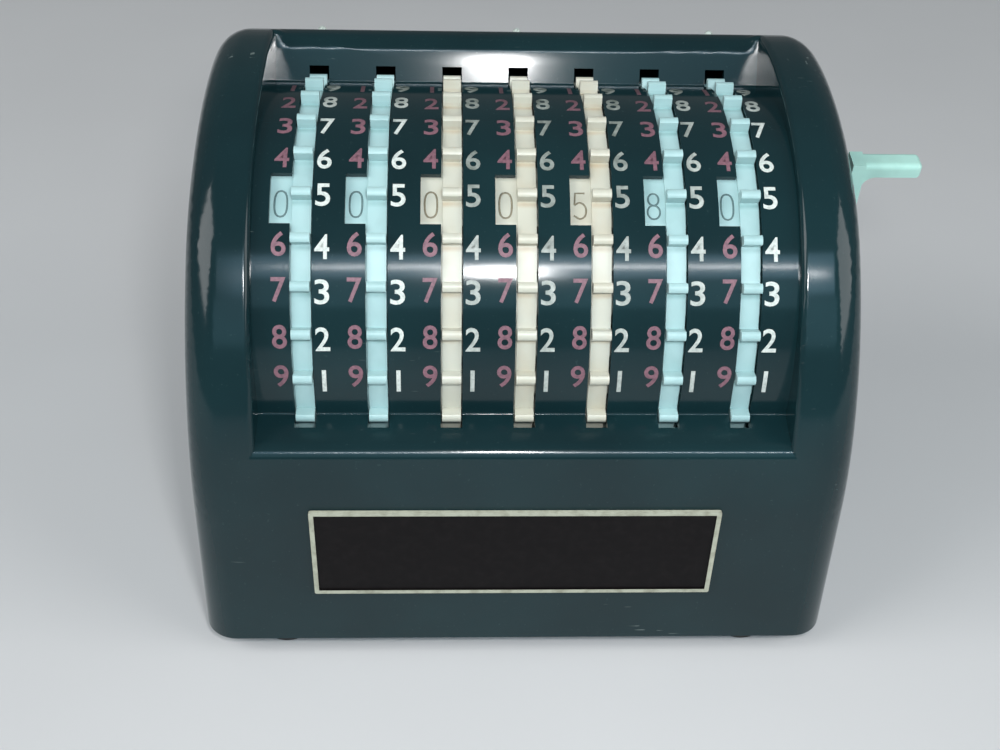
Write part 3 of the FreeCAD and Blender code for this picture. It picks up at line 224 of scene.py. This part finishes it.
def makeCasePlastic():
    # glossy moulded plastic, with dust, short scuffs and pale rubs beside the slots' ends
    look = casePlastic
    material, tree, shader = newMaterial("casePlastic")
    spot = objectPoint(tree)
    clouds = noise(tree, spot, 26, 3)
    body = mixed(tree, blend(tree, clouds, look["shadeFrom"], look["shadeTo"]),
                 look["colour"], look["shade"])
    dust = patches(tree, spot, *look["dustSpecks"], most=look["dustAmount"])
    body = mixed(tree, dust, body, look["dust"])
    along = objectPoint(tree, look["scuffStretch"], look["scuffTurn"])
    marks = maths(tree, "MULTIPLY", patches(tree, along, *look["scuffs"]),
                  patches(tree, spot, *look["scuffedPlaces"]))
    x, reach, angle = aboutAxle(tree)
    near = between(tree, slotMiddles(tree, x), look["rubFrom"] * mm, look["rubTo"] * mm)
    heads = maths(tree, "MULTIPLY", between(tree, angle, *look["headAngles"]),
                  between(tree, reach, *look["headReach"]))
    feet = maths(tree, "MULTIPLY", between(tree, angle, *look["footAngles"]),
                 between(tree, reach, *look["footReach"]))
    ends = maths(tree, "MULTIPLY", near, maths(tree, "MAXIMUM", heads, feet))
    rubs = maths(tree, "MULTIPLY", ends, patches(tree, spot, *look["nicks"]))
    worn = maths(tree, "MULTIPLY", maths(tree, "MAXIMUM", marks, rubs), look["scuffAmount"])
    body = mixed(tree, worn, body, look["scuff"])
    tree.links.new(body, shader.inputs["Base Color"])
    dull = maths(tree, "MULTIPLY_ADD", clouds, 0.06, look["roughness"] - 0.03)
    roughen(tree, shader, marks, dull, 0.25)
    shader.inputs["Specular IOR Level"].default_value = look["specular"]
    height = maths(tree, "MULTIPLY_ADD", noise(tree, spot, 240, 3), 0.12,
                   noise(tree, spot, 30, 1))
    bump(tree, shader, height, look["waviness"], 0.0005)
    return material


wheelPlastic = {
    "clouds": (60, 3, 0.3, 0.7),
    "creaseBelowRib": 2.1,
    "creaseFrom": 0.15,
    "creaseTo": 1.1,
    "rimReach": (0.0468, 0.0480),  # metres from the axle
    "blots": (240, 4, 0.3, 0.7),
    "blotsLeast": 0.35,
    # how strongly the painted shade darkens the creases under the ribs
    "creaseShadeAmount": 0.6,
    "film": (130, 4, 0.48, 0.8),
    "filmAmount": 0.28,
    "roughness": 0.28,
    "roughnessSpread": 0.2,
    "glow": 0.08,  # light scattered inside the plastic
    "glowRadius": (0.9, 0.7, 0.6),
    "glowDepth": 0.0012,
}


def makeWheelPlastic(name, colour, warm, grimeAndShade):
    # soft moulded plastic, with painted shade darkening the creases under the ribs, and patches
    # of grime
    look = wheelPlastic
    material, tree, shader = newMaterial(name)
    spot = objectPoint(tree)
    body = mixed(tree, patches(tree, spot, *look["clouds"]), colour, warm)
    x, reach, angle = aboutAxle(tree)
    half = machine["step"] / 2
    turn = maths(tree, "ADD", angle, 360 - machine["ribAngle"] + look["creaseBelowRib"] + half)
    offset = maths(tree, "ABSOLUTE", maths(tree, "SUBTRACT", maths(
        tree, "MODULO", turn, machine["step"]), half))
    crease = slope(tree, offset, look["creaseFrom"], look["creaseTo"], 1.0, 0.0)
    outside = between(tree, reach, *look["rimReach"])
    blots = patches(tree, spot, *look["blots"], least=look["blotsLeast"])
    # painted shade: the rim just below each rib is darkened towards the grime colour
    shadedCrease = maths(tree, "MULTIPLY", maths(tree, "MULTIPLY", crease, outside), blots)
    body = mixed(tree, maths(tree, "MULTIPLY", shadedCrease, look["creaseShadeAmount"]), body, grimeAndShade)
    film = patches(tree, spot, *look["film"], most=look["filmAmount"])
    body = mixed(tree, film, body, grimeAndShade)
    tree.links.new(body, shader.inputs["Base Color"])
    roughen(tree, shader, noise(tree, spot, 150, 3), look["roughness"],
            look["roughnessSpread"])
    shader.inputs["Subsurface Weight"].default_value = look["glow"]
    shader.inputs["Subsurface Radius"].default_value = look["glowRadius"]
    shader.inputs["Subsurface Scale"].default_value = look["glowDepth"]
    bump(tree, shader, noise(tree, spot, 700, 2), 0.08, 0.0002)
    return material


paint = {
    "chips": (1500, 2, 0.40, 0.72),
    "roughnessSpread": 0.2,
    "grainStrength": 0.15,
    "grainDepth": 0.0001,
}


def makePaint(name, colour, worn, roughness=0.5):
    # a thin coat in which chips show the worn colour
    material, tree, shader = newMaterial(name)
    spot = objectPoint(tree)
    coat = mixed(tree, patches(tree, spot, *paint["chips"]), colour, worn)
    tree.links.new(coat, shader.inputs["Base Color"])
    spread = paint["roughnessSpread"]
    roughen(tree, shader, noise(tree, spot, 800, 2), roughness - spread / 2, spread)
    bump(tree, shader, noise(tree, spot, 1800, 2), paint["grainStrength"], paint["grainDepth"])
    return material


digitWearAndShade = {
    "roughness": 0.52,
    "middle": 0.010,  # metres: where most fingers go, from the middle column
    "near": 0.022,
    "far": 0.036,
    "risingAngles": (20.0, 75.0),
    # angles over which the top rows darken, as painted shade with some wear
    "shadedTopAngles": (80.0, 100.0),
    "blots": (380, 3, 0.3, 0.7),
    "blotsLeast": 0.55,
}


def makeDigitPaint(name, colour, worn, fadedAndShaded, middleWear):
    # the middle columns are rubbed thinner than the others; the top rows are darkened as painted
    # shade, with some wear
    wear = digitWearAndShade
    material = makePaint(name, colour, worn, wear["roughness"])
    tree = material.node_tree
    base = tree.nodes["Principled BSDF"].inputs["Base Color"]
    coat = base.links[0].from_socket
    x, reach, angle = aboutAxle(tree)
    aside = maths(tree, "ABSOLUTE", maths(tree, "SUBTRACT", x, wear["middle"]))
    middle = slope(tree, aside, wear["near"], wear["far"], middleWear, 0.0)
    rising = slope(tree, angle, *wear["risingAngles"], 0.5, 1.0)
    # painted shade: the digits darken towards the top rows, partly also wear
    top = slope(tree, angle, *wear["shadedTopAngles"], 0.0, 1.0)
    wornAndShaded = maths(tree, "MAXIMUM", maths(tree, "MULTIPLY", middle, rising), top)
    blots = patches(tree, objectPoint(tree), *wear["blots"], least=wear["blotsLeast"])
    tree.links.new(mixed(tree, maths(tree, "MULTIPLY", wornAndShaded, blots), coat, fadedAndShaded), base)
    return material


metal = {
    "stains": (90, 3, 0.3, 0.7),
    "stainTint": 0.78,
    "roughnessSpread": 0.22,
    "brushed": (1, 40, 40),
    "even": (30, 30, 30),
}


def makeMetal(name, colour, roughness, grain):
    # metal with fine lines or grain, and darker stains
    material, tree, shader = newMaterial(name)
    lines = noise(tree, objectPoint(tree, grain), 60, 3)
    stained = tuple(channel * metal["stainTint"] for channel in colour)
    stains = patches(tree, objectPoint(tree), *metal["stains"])
    tree.links.new(mixed(tree, stains, colour, stained), shader.inputs["Base Color"])
    shader.inputs["Metallic"].default_value = 1
    spread = metal["roughnessSpread"]
    roughen(tree, shader, lines, roughness - spread / 2, spread)
    bump(tree, shader, lines, 0.12, 0.0001)
    return material


rubber = {
    "colour": srgb(36, 33, 33),
    "dust": srgb(72, 68, 65),
    "dusty": (320, 4, 0.45, 0.75),
    "dustAmount": 0.7,
    "roughness": 0.6,
}


def makeRubber():
    material, tree, shader = newMaterial("footRubber")
    spot = objectPoint(tree)
    dust = patches(tree, spot, *rubber["dusty"], most=rubber["dustAmount"])
    tree.links.new(mixed(tree, dust, rubber["colour"], rubber["dust"]),
                   shader.inputs["Base Color"])
    roughen(tree, shader, noise(tree, spot, 500, 2), rubber["roughness"], 0.2)
    bump(tree, shader, noise(tree, spot, 1200, 3), 0.3, 0.0002)
    return material


plateLow, plateHigh = (Vector(corner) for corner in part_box("name_plate"))
plateLook = {
    "field": srgb(9, 6, 7),
    "fieldWorn": srgb(18, 14, 15),
    "border": srgb(180, 182, 164),
    "borderWorn": srgb(146, 145, 127),
    "rim": 1.05,  # width of the border
    "wear": (420, 4, 0.45, 0.75),
    "roughness": 0.34,
    "specular": 0.15,
}


def makePlateLacquer():
    # black lacquer inside a pale printed line along the plate's edge
    material, tree, shader = newMaterial("plateLacquer")
    spot = objectPoint(tree)
    parts = addNode(tree, "ShaderNodeSeparateXYZ", {"Vector": spot})
    rim = plateLook["rim"] * mm
    inside = maths(tree, "MULTIPLY",
                   between(tree, parts.outputs["X"], plateLow.x + rim, plateHigh.x - rim),
                   between(tree, parts.outputs["Z"], plateLow.z + rim, plateHigh.z - rim))
    wear = patches(tree, spot, *plateLook["wear"])
    field = mixed(tree, wear, plateLook["field"], plateLook["fieldWorn"])
    border = mixed(tree, wear, plateLook["border"], plateLook["borderWorn"])
    tree.links.new(mixed(tree, inside, border, field), shader.inputs["Base Color"])
    roughen(tree, shader, noise(tree, spot, 200, 3), plateLook["roughness"], 0.2)
    shader.inputs["Specular IOR Level"].default_value = plateLook["specular"]
    bump(tree, shader, noise(tree, spot, 420, 2), 0.12, 0.0002)
    return material


finishes = {
    "case": makeCasePlastic(),
    # each wheel plastic's third colour is grime, which also serves as the painted shade under the
    # ribs
    "aqua": makeWheelPlastic("aquaPlastic", srgb(174, 207, 207), srgb(166, 200, 201),
                             srgb(104, 148, 146)),
    "cream": makeWheelPlastic("creamPlastic", srgb(204, 205, 192), srgb(199, 197, 180),
                              srgb(178, 150, 110)),
    "lever": makeWheelPlastic("leverPlastic", srgb(178, 222, 210), srgb(170, 214, 204),
                              srgb(110, 150, 142)),
    # each digit paint's third colour is faded paint, which also serves as the painted shade on
    # the top rows
    "whitePaint": makeDigitPaint("whitePaint", srgb(216, 222, 216), srgb(186, 194, 188),
                                 srgb(80, 90, 82), 0.95),
    "redPaint": makeDigitPaint("redPaint", srgb(138, 98, 109), srgb(112, 80, 91),
                               srgb(80, 58, 64), 0.2),
    "greyInk": makePaint("greyInk", srgb(96, 124, 126), srgb(112, 138, 138)),
    "tanInk": makePaint("tanInk", srgb(138, 130, 108), srgb(156, 148, 126)),
    "stud": makePaint("studPlastic", srgb(196, 206, 198), srgb(160, 170, 162), 0.4),
    "plate": makePlateLacquer(),
    "base": makePaint("baseLacquer", srgb(34, 32, 32), srgb(52, 50, 48), 0.45),
    "foot": makeRubber(),
    "steel": makeMetal("darkSteel", srgb(74, 76, 78), 0.42, metal["brushed"]),
    "screw": makeMetal("screwSteel", srgb(176, 176, 174), 0.28, metal["even"]),
    "spring": makeMetal("springSteel", srgb(96, 100, 106), 0.34, metal["brushed"]),
    "brass": makeMetal("bushBrass", srgb(200, 168, 96), 0.3, metal["even"]),
    "pinion": makePaint("pinionPlastic", srgb(196, 190, 170), srgb(178, 170, 150), 0.42),
}
print("materials made:", len(finishes))

slotFinish = {
    "case": "case", "stud": "stud", "plate": "plate", "base": "base", "foot": "foot",
    "aqua_wheel": "aqua", "cream_wheel": "cream", "lever": "lever", "pinion": "pinion",
    "steel": "steel", "screw": "screw", "spring": "spring", "spacer": "steel", "bush": "brass",
}
for part in frame["record"]["subparts"]:
    node = frame["nodes"][part["node"]]
    for place in node.material_slots:
        place.material = finishes[slotFinish[part["material_slot"]]]
print("nodes dressed:", len(frame["nodes"]))


def meshObject(name, shape, material):
    mesh = bpy.data.meshes.new(name)
    shape.to_mesh(mesh)
    shape.free()
    mesh.materials.append(material)
    thing = bpy.data.objects.new(name, mesh)
    bpy.context.scene.collection.objects.link(thing)
    return thing


def addPiece(name, shape, finish, body):
    piece = meshObject(name, shape, finishes[finish])
    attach(piece, body)
    return piece


def addCopy(target, source, places):
    # adds a copy of the source whose corners go to the given places
    copy = source.copy()
    for corner, place in zip(copy.verts, places):
        corner.co = place
    mesh = bpy.data.meshes.new("copy")
    copy.to_mesh(mesh)
    copy.free()
    target.from_mesh(mesh)
    bpy.data.meshes.remove(mesh)


def curveShape(curve):
    # the mesh of a curve or text, as a bmesh
    holder = bpy.data.objects.new("holder", curve)
    bpy.context.scene.collection.objects.link(holder)
    bpy.context.view_layer.update()
    mesh = bpy.data.meshes.new_from_object(holder)
    bpy.data.objects.remove(holder)
    shape = bmesh.new()
    shape.from_mesh(mesh)
    bpy.data.meshes.remove(mesh)
    return shape


def everything(shape):
    return shape.verts[:] + shape.edges[:] + shape.faces[:]


def makeSmooth(shape):
    for face in shape.faces:
        face.smooth = True


# the case's crest, seen from the side: Y and Z from the axle
crest = {
    "wallFoot": Vector((23.05, 42.10)),
    "wallLean": 26.0,
    "backMiddle": Vector((18.3, 18.65)),
    "backArc": 36.0,
    "rounding": 5.2,
    "oldCrest": 1.6,  # how far the sharper crest stands past the rounding, at most
    "nearY": (20.0, 42.0),  # the crest's faces lie between these
    "nearZ": 40.0,  # and above this
    "cutEvery": 7.0,
    "halfWidth": 58.4,
    "fadeFrom": 55.0,  # from here outwards the rounding runs into the cheeks
    "fadeCuts": (56.0, 57.0, 57.7),
    "weld": 0.00001,
    "creaseAngle": 38.0,
    "wallCreaseAngle": 12.0,
}


def fromAxle(place):
    return Vector((place.y / mm - machine["axle"].y, place.z / mm - machine["axle"].z))


def crestCentre():
    # middle of the rounding that touches the leaning wall and the back arc, and the
    # directions from it to where it touches them
    lean = radians(crest["wallLean"])
    along, inward = Vector((sin(lean), cos(lean))), Vector((cos(lean), -sin(lean)))
    start = crest["wallFoot"] + inward * crest["rounding"] - crest["backMiddle"]
    reach = crest["backArc"] - crest["rounding"]
    run = -start.dot(along) + (start.dot(along) ** 2 - start.length_squared + reach ** 2) ** 0.5
    return crest["backMiddle"] + start + along * run, -inward, (start + along * run).normalized()


def crestSkin(shape, centre):
    # the outer faces round the crest, and their edges and corners
    chosen = []
    for face in shape.faces:
        spots = [fromAxle(v.co) for v in face.verts]
        if (min((spot - centre).length for spot in spots) > crest["rounding"] - 0.02
                and any(crest["nearY"][0] < spot.x < crest["nearY"][1]
                        and spot.y > crest["nearZ"] for spot in spots)):
            chosen.append(face)
    return (chosen + list({e for f in chosen for e in f.edges})
            + list({v for f in chosen for v in f.verts}))


def cutCrest(shape, centre, toWall, sweep):
    # cuts along the crest, a few degrees apart, and across it where the rounding fades
    cuts = int(sweep / crest["cutEvery"])
    for index in range(cuts + 1):
        turn = radians(sweep * index / cuts)
        outward = Vector((toWall.x * cos(turn) + toWall.y * sin(turn),
                          toWall.y * cos(turn) - toWall.x * sin(turn)))
        bmesh.ops.bisect_plane(shape, geom=crestSkin(shape, centre),
                               plane_no=(0, -outward.y, outward.x),
                               plane_co=(Vector((0, centre.x, centre.y)) + machine["axle"]) * mm)
    for side in (-1, 1):
        for x in (crest["fadeFrom"], *crest["fadeCuts"], crest["halfWidth"]):
            bmesh.ops.bisect_plane(shape, geom=crestSkin(shape, centre), plane_no=(1, 0, 0),
                                   plane_co=((machine["axle"].x + side * x) * mm, 0, 0))


def makeCaseShell():
    # the case with a fuller rounding along the top of its leaning wall
    centre, toWall, toBack = crestCentre()
    rounding = crest["rounding"]
    sweep = toWall.angle(toBack) * 180 / pi
    shape = bmesh.new()
    shape.from_mesh(frame["nodes"]["top_housing"].data)
    bmesh.ops.remove_doubles(shape, verts=shape.verts, dist=crest["weld"])
    cutCrest(shape, centre, toWall, sweep)
    fade = crest["halfWidth"] - crest["fadeFrom"]
    for corner in shape.verts:
        spot = fromAxle(corner.co) - centre
        aside = abs(corner.co.x / mm - machine["axle"].x)
        if not (rounding < spot.length < rounding + crest["oldCrest"]
                and aside < crest["halfWidth"]):
            continue
        if spot.angle(toWall) + spot.angle(toBack) > radians(sweep) + 0.001:
            continue
        share = min((crest["halfWidth"] - aside) / fade, 1)
        spot *= 1 - (3 - 2 * share) * share ** 2 * (1 - rounding / spot.length)
        corner.co.y = (centre.x + spot.x + machine["axle"].y) * mm
        corner.co.z = (centre.y + spot.y + machine["axle"].z) * mm
    bmesh.ops.triangulate(shape, faces=[f for f in shape.faces if len(f.verts) > 3])
    makeSmooth(shape)
    for face in shape.faces:
        face.normal_update()
    wall = Vector((0, toWall.x, toWall.y))
    for edge in shape.edges:
        # the flat wall keeps crisp borders, so that it mirrors the lamps evenly
        flat = any(face.normal.dot(wall) > 0.9998 for face in edge.link_faces)
        limit = crest["wallCreaseAngle"] if flat else crest["creaseAngle"]
        edge.smooth = edge.calc_face_angle(0) < radians(limit)
    piece = addPiece("caseShell", shape, "case", "machine")
    weights = piece.modifiers.new("weights", "WEIGHTED_NORMAL")
    weights.keep_sharp = True
    weights.mode = "FACE_AREA_WITH_ANGLE"
    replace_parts(piece, "top_housing")


makeCaseShell()
print("case made")

studs = {
    "columns": (1, 4, 7),
    "angle": 58.0,
    "radius": 1.15,
    "proud": 1.3,
    "segments": 24,
    "rings": 12,
}


def makeStuds():
    # small domed heads in the crest behind the first, middle and last column
    lean = radians(studs["angle"])
    heads = bmesh.new()
    for column in studs["columns"]:
        dome = bmesh.new()
        bmesh.ops.create_uvsphere(dome, u_segments=studs["segments"],
                                  v_segments=studs["rings"], radius=1)
        bmesh.ops.scale(dome, verts=dome.verts,
                        vec=(studs["radius"], studs["radius"], studs["proud"]))
        bmesh.ops.rotate(dome, verts=dome.verts, cent=(0, 0, 0),
                         matrix=Matrix.Rotation(lean - pi / 2, 3, "X"))
        reach = crest["backArc"]
        seat = Vector((columnX(column), crest["backMiddle"].x + reach * cos(lean),
                       crest["backMiddle"].y + reach * sin(lean))) + machine["axle"]
        addCopy(heads, dome, [(v.co + seat) * mm for v in dome.verts])
        dome.free()
    makeSmooth(heads)
    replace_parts(addPiece("crestStuds", heads, "stud", "machine"), "rim_studs")


makeStuds()
print("studs made")

leverScrew = {
    "headRadius": 4.6,
    "shankRadius": 1.7,
    "slotWidth": 1.2,
    "slotDepth": 0.9,
    "slotTurn": 25.0,
    "edge": 0.25,
    "segments": 48,
    "creaseAngle": 30.0,
}


def roundBar(radius, low, high, centre):
    # a round bar along X, in millimetres
    bar = bmesh.new()
    bmesh.ops.create_cone(bar, cap_ends=True, segments=leverScrew["segments"], radius1=radius,
                          radius2=radius, depth=high - low)
    bmesh.ops.rotate(bar, verts=bar.verts, cent=(0, 0, 0), matrix=Matrix.Rotation(pi / 2, 3, "Y"))
    bmesh.ops.translate(bar, verts=bar.verts, vec=((low + high) / 2, centre.y, centre.z))
    return bar


def makeLeverScrew():
    # the lever's screw, with a slot between two bevelled halves of its head
    lower, upper = (Vector(corner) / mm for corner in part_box("lever_screw"))
    centre = (lower + upper) / 2
    seat = min(v.co.x for v in frame["nodes"]["lever_screw"].data.vertices
               if (v.co.yz / mm - centre.yz).length > leverScrew["headRadius"] - 0.1) / mm
    bottom = upper.x - leverScrew["slotDepth"]
    turn = radians(leverScrew["slotTurn"])
    parts = [roundBar(leverScrew["shankRadius"], lower.x, seat, centre),
             roundBar(leverScrew["headRadius"], seat, bottom, centre)]
    for side in (-1, 1):
        outward = Vector((0, -sin(turn), cos(turn))) * side
        half = roundBar(leverScrew["headRadius"], bottom, upper.x, centre)
        bmesh.ops.bisect_plane(half, geom=everything(half), plane_no=outward,
                               plane_co=centre + outward * leverScrew["slotWidth"] / 2,
                               clear_inner=True)
        bmesh.ops.holes_fill(half, edges=half.edges)
        rim = [e for e in half.edges if min(v.co.x for v in e.verts) > upper.x - 0.01]
        bmesh.ops.bevel(half, geom=rim, offset=leverScrew["edge"], affect="EDGES", segments=2,
                        profile=0.5, material=-1)
        parts.append(half)
    shape = bmesh.new()
    for part in parts:
        addCopy(shape, part, [v.co * mm for v in part.verts])
        part.free()
    makeSmooth(shape)
    piece = addPiece("slottedScrew", shape, "screw", "clearing")
    piece.data.set_sharp_from_angle(angle=radians(leverScrew["creaseAngle"]))
    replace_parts(piece, "lever_screw")


makeLeverScrew()
print("lever screw made")

panelDigits = {
    "height": 5.3,
    "width": 3.15,
    "boldness": 0.012,
    "depth": 0.12,
    "radius": 48.0,
    "whiteAside": 4.5,
    "redAside": -4.65,
    "whiteRows": [7.1, 18.8, 31.0, 42.4, 56.2, 67.0, 78.9, 91.0, 102.3],
    "redRows": [8.5, 19.4, 31.5, 43.1, 55.2, 67.3, 78.9, 90.5, 102.0],
    "openRow": 5,  # the windows take the place of the red digits here
    "curveSteps": 4,
    "bands": 6,  # each digit is cut into these, so that it bends with the panel
}


def printedDigit(text):
    # one bold digit about its own middle in millimetres, X right and Y up
    thickness = 0.002
    curve = bpy.data.curves.new("digit", "FONT")
    curve.body = text
    curve.size = 1
    curve.resolution_u = panelDigits["curveSteps"]
    curve.offset = panelDigits["boldness"]
    curve.extrude = thickness / 2
    shape = curveShape(curve)
    xs = [v.co.x for v in shape.verts]
    ys = [v.co.y for v in shape.verts]
    centre = Vector(((min(xs) + max(xs)) / 2, (min(ys) + max(ys)) / 2, 0))
    tall = panelDigits["height"] / (max(ys) - min(ys))
    wide = panelDigits["width"] / (max(xs) - min(xs)) if text != "1" else tall
    bmesh.ops.translate(shape, verts=shape.verts, vec=-centre)
    bmesh.ops.scale(shape, verts=shape.verts, vec=(wide, tall, panelDigits["depth"] / thickness))
    for index in range(1, panelDigits["bands"]):
        level = panelDigits["height"] * (index / panelDigits["bands"] - 0.5)
        bmesh.ops.bisect_plane(shape, geom=everything(shape), plane_co=(0, level, 0),
                               plane_no=(0, 1, 0))
    return shape


def printOnPanel(target, digit, x, angle):
    # bent round the panel's cylinder
    radius = panelDigits["radius"]
    addCopy(target, digit, [onDrum(x + v.co.x, radius + v.co.z,
                                   angle + v.co.y / radius * 180 / pi) for v in digit.verts])


def makePanelDigits():
    # white digits for adding on the right of each wheel, red ones for subtracting on its left
    glyphs = {number: printedDigit(str(number)) for number in range(1, 10)}
    white = bmesh.new()
    red = bmesh.new()
    for column in range(1, machine["columns"] + 1):
        for row in range(1, 10):
            printOnPanel(white, glyphs[row], columnX(column) + panelDigits["whiteAside"],
                         panelDigits["whiteRows"][row - 1])
            if row != panelDigits["openRow"]:
                printOnPanel(red, glyphs[10 - row], columnX(column) + panelDigits["redAside"],
                             panelDigits["redRows"][row - 1])
    addPiece("addingDigits", white, "whitePaint", "machine")
    addPiece("subtractingDigits", red, "redPaint", "machine")


makePanelDigits()
print("panel digits made")

# each stroke: whether it is closed, whether its corners are round, and its points, with
# 1 for the digit's whole height and width
drumStrokes = {
    0: [(True, True, [(0, 0.5), (-0.5, 0), (0, -0.5), (0.5, 0)])],
    1: [(False, False, [(-0.25, 0.28), (0.08, 0.5), (0.08, -0.5)])],
    2: [(False, True, [(-0.48, 0.24), (-0.05, 0.5), (0.44, 0.24), (0.05, -0.18), (-0.5, -0.49)]),
        (False, False, [(-0.5, -0.5), (0.5, -0.5)])],
    3: [(False, True, [(-0.46, 0.36), (0, 0.5), (0.4, 0.27), (-0.08, 0.03)]),
        (False, True, [(-0.08, 0.03), (0.5, -0.22), (0, -0.5), (-0.5, -0.34)])],
    4: [(False, False, [(0.22, -0.5), (0.22, 0.5), (-0.5, -0.2), (0.5, -0.2)])],
    5: [(False, False, [(0.42, 0.5), (-0.34, 0.5), (-0.42, 0.04)]),
        (False, True, [(-0.42, 0.04), (0.08, 0.12), (0.5, -0.18), (0.1, -0.5), (-0.5, -0.38)])],
    6: [(True, True, [(0, 0.06), (-0.5, -0.2), (0, -0.5), (0.5, -0.2)]),
        (False, True, [(-0.5, -0.18), (-0.28, 0.26), (0.3, 0.5)])],
    7: [(False, False, [(-0.5, 0.5), (0.5, 0.5), (-0.14, -0.5)])],
    8: [(True, True, [(0, 0.5), (-0.42, 0.27), (0, 0.04), (0.42, 0.27)]),
        (True, True, [(0, 0.04), (-0.5, -0.22), (0, -0.5), (0.5, -0.22)])],
    9: [(True, True, [(0, 0.5), (-0.5, 0.2), (0, -0.06), (0.5, 0.2)]),
        (False, True, [(0.5, 0.18), (0.3, -0.26), (-0.3, -0.5)])],
}
drumDigits = {
    "height": 6.0,
    "width": 2.7,
    "line": 0.42,
    "thickness": 0.04,
    "radius": 46.245,
    "aside": -4.55,
    "flatAngle": 55.6,  # of the flat that shows in the window
    "lowered": 0.9,
    "curveSteps": 6,
}


def strokedDigit(number):
    # a digit of thin round lines, flattened to the thickness of ink
    curve = bpy.data.curves.new("stroke", "CURVE")
    curve.dimensions = "3D"
    curve.resolution_u = drumDigits["curveSteps"]
    curve.bevel_depth = drumDigits["line"] / 2
    curve.bevel_resolution = 0
    for closed, smooth, points in drumStrokes[number]:
        spline = curve.splines.new("BEZIER")
        spline.bezier_points.add(len(points) - 1)
        spline.use_cyclic_u = closed
        for knot, (x, y) in zip(spline.bezier_points, points):
            knot.co = (x * drumDigits["width"], y * drumDigits["height"], 0)
            knot.handle_left_type = knot.handle_right_type = "AUTO" if smooth else "VECTOR"
    shape = curveShape(curve)
    bmesh.ops.scale(shape, verts=shape.verts,
                    vec=(1, 1, drumDigits["thickness"] / drumDigits["line"]))
    return shape


def makeDrumDigits():
    # one digit on each flat of a drum, starting with the one that shows in the window
    glyphs = [strokedDigit(number) for number in range(10)]
    for column in range(1, machine["columns"] + 1):
        numbers = bmesh.new()
        x = columnX(column) + drumDigits["aside"]
        for index in range(int(360 / machine["step"])):
            value = (machine["shown"][column - 1] + index) % 10
            angle = drumDigits["flatAngle"] + index * machine["step"]
            middle = onDrum(x, drumDigits["radius"], angle)
            outward = (onDrum(x, drumDigits["radius"] + 1, angle) - middle) / mm
            upward = Vector((0, outward.z, -outward.y))
            addCopy(numbers, glyphs[value], [
                middle + (Vector((v.co.x, 0, 0)) + upward * (v.co.y - drumDigits["lowered"])
                          + outward * v.co.z) * mm for v in glyphs[value].verts])
        cream = column in machine["creamWheels"]
        addPiece("drumDigits%d" % column, numbers, "tanInk" if cream else "greyInk",
                 "wheel_%d" % column)


makeDrumDigits()
print("drum digits made")

# metres from here on
stage = {
    "floorSize": 3.0,
    "darker": 0.62,
    "lighter": 0.66,
    "roughness": 0.9,
}


def makeFloor():
    material, tree, shader = newMaterial("floorPaper")
    soft = patches(tree, objectPoint(tree), 6, 3, 0.3, 0.7, stage["darker"], stage["lighter"])
    tree.links.new(soft, shader.inputs["Base Color"])
    shader.inputs["Roughness"].default_value = stage["roughness"]
    shape = bmesh.new()
    bmesh.ops.create_grid(shape, x_segments=2, y_segments=2, size=stage["floorSize"])
    floor = meshObject("floor", shape, material)


studio = {
    "worldStrength": 0.17,
    "worldColour": (0.92, 0.95, 0.97, 1),
    "aim": Vector((-0.006, 0, 0.08)),
    "white": (1, 1, 1),
}
lamps = {
    "keyLamp": {"spot": (-0.85, -0.35, 0.75), "size": (0.7, 0.7), "power": 6.6},
    "fillLamp": {"spot": (0.85, -0.40, 0.60), "size": (0.7, 0.7), "power": 4.9},
    "stripLamp": {"spot": (0.110, -1.130, 1.090), "size": (0.72, 0.016), "power": 3.0},
    "glowLamp": {"spot": (0.110, -1.160, 1.120), "size": (0.90, 0.34), "power": 3.2,
                 "colour": (0.42, 0.75, 1.0)},
    "lowLamp": {"spot": (0.080, -1.400, 0.790), "size": (1.4, 0.40), "power": 1.6,
                "colour": (0.42, 0.80, 1.0)},
    "flashLamp": {"spot": (-0.001, -0.254, 0.274), "size": (0.026, 0.026), "power": 0.38},
}


def makeLights():
    world = bpy.data.worlds.new("studio")
    bpy.context.scene.world = world
    world.use_nodes = True
    background = world.node_tree.nodes["Background"]
    background.inputs["Color"].default_value = studio["worldColour"]
    background.inputs["Strength"].default_value = studio["worldStrength"]
    for name, lamp in lamps.items():
        data = bpy.data.lights.new(name, "AREA")
        data.shape = "RECTANGLE"
        data.size, data.size_y = lamp["size"]
        data.energy = lamp["power"]
        data.color = lamp.get("colour", studio["white"])
        panel = bpy.data.objects.new(name, data)
        bpy.context.scene.collection.objects.link(panel)
        panel.location = lamp["spot"]
        ahead = studio["aim"] - Vector(lamp["spot"])
        panel.rotation_euler = ahead.to_track_quat("-Z", "Y").to_euler()


# millimetres, degrees and pixels
camera = {
    "spot": machine["axle"] + Vector((-16.8, -270.9, 180.5)),
    "yaw": 2.88,
    "pitch": 37.71,
    "roll": -1.90,
    "focal": 1305.96,
    "frameWidth": 1000,
    "sensor": 36,
}


def makeCamera():
    yaw, pitch, roll = (radians(camera[k]) for k in ("yaw", "pitch", "roll"))
    ahead = Vector((sin(yaw) * cos(pitch), cos(yaw) * cos(pitch), -sin(pitch)))
    right = Vector((cos(yaw), -sin(yaw), 0))
    down = ahead.cross(right)
    across = right * cos(roll) + down * sin(roll)
    below = down * cos(roll) - right * sin(roll)
    data = bpy.data.cameras.new("camera")
    data.sensor_width = camera["sensor"]
    data.lens = camera["focal"] / camera["frameWidth"] * camera["sensor"]
    data.clip_start = 0.01
    view = bpy.data.objects.new("camera", data)
    bpy.context.scene.collection.objects.link(view)
    turn = Matrix((across, -below, -ahead)).transposed()
    view.matrix_world = Matrix.Translation(camera["spot"] * mm) @ turn.to_4x4()
    bpy.context.scene.camera = view


makeFloor()
makeLights()
makeCamera()
bpy.context.scene.view_settings.view_transform = "Standard"
print("stage made")
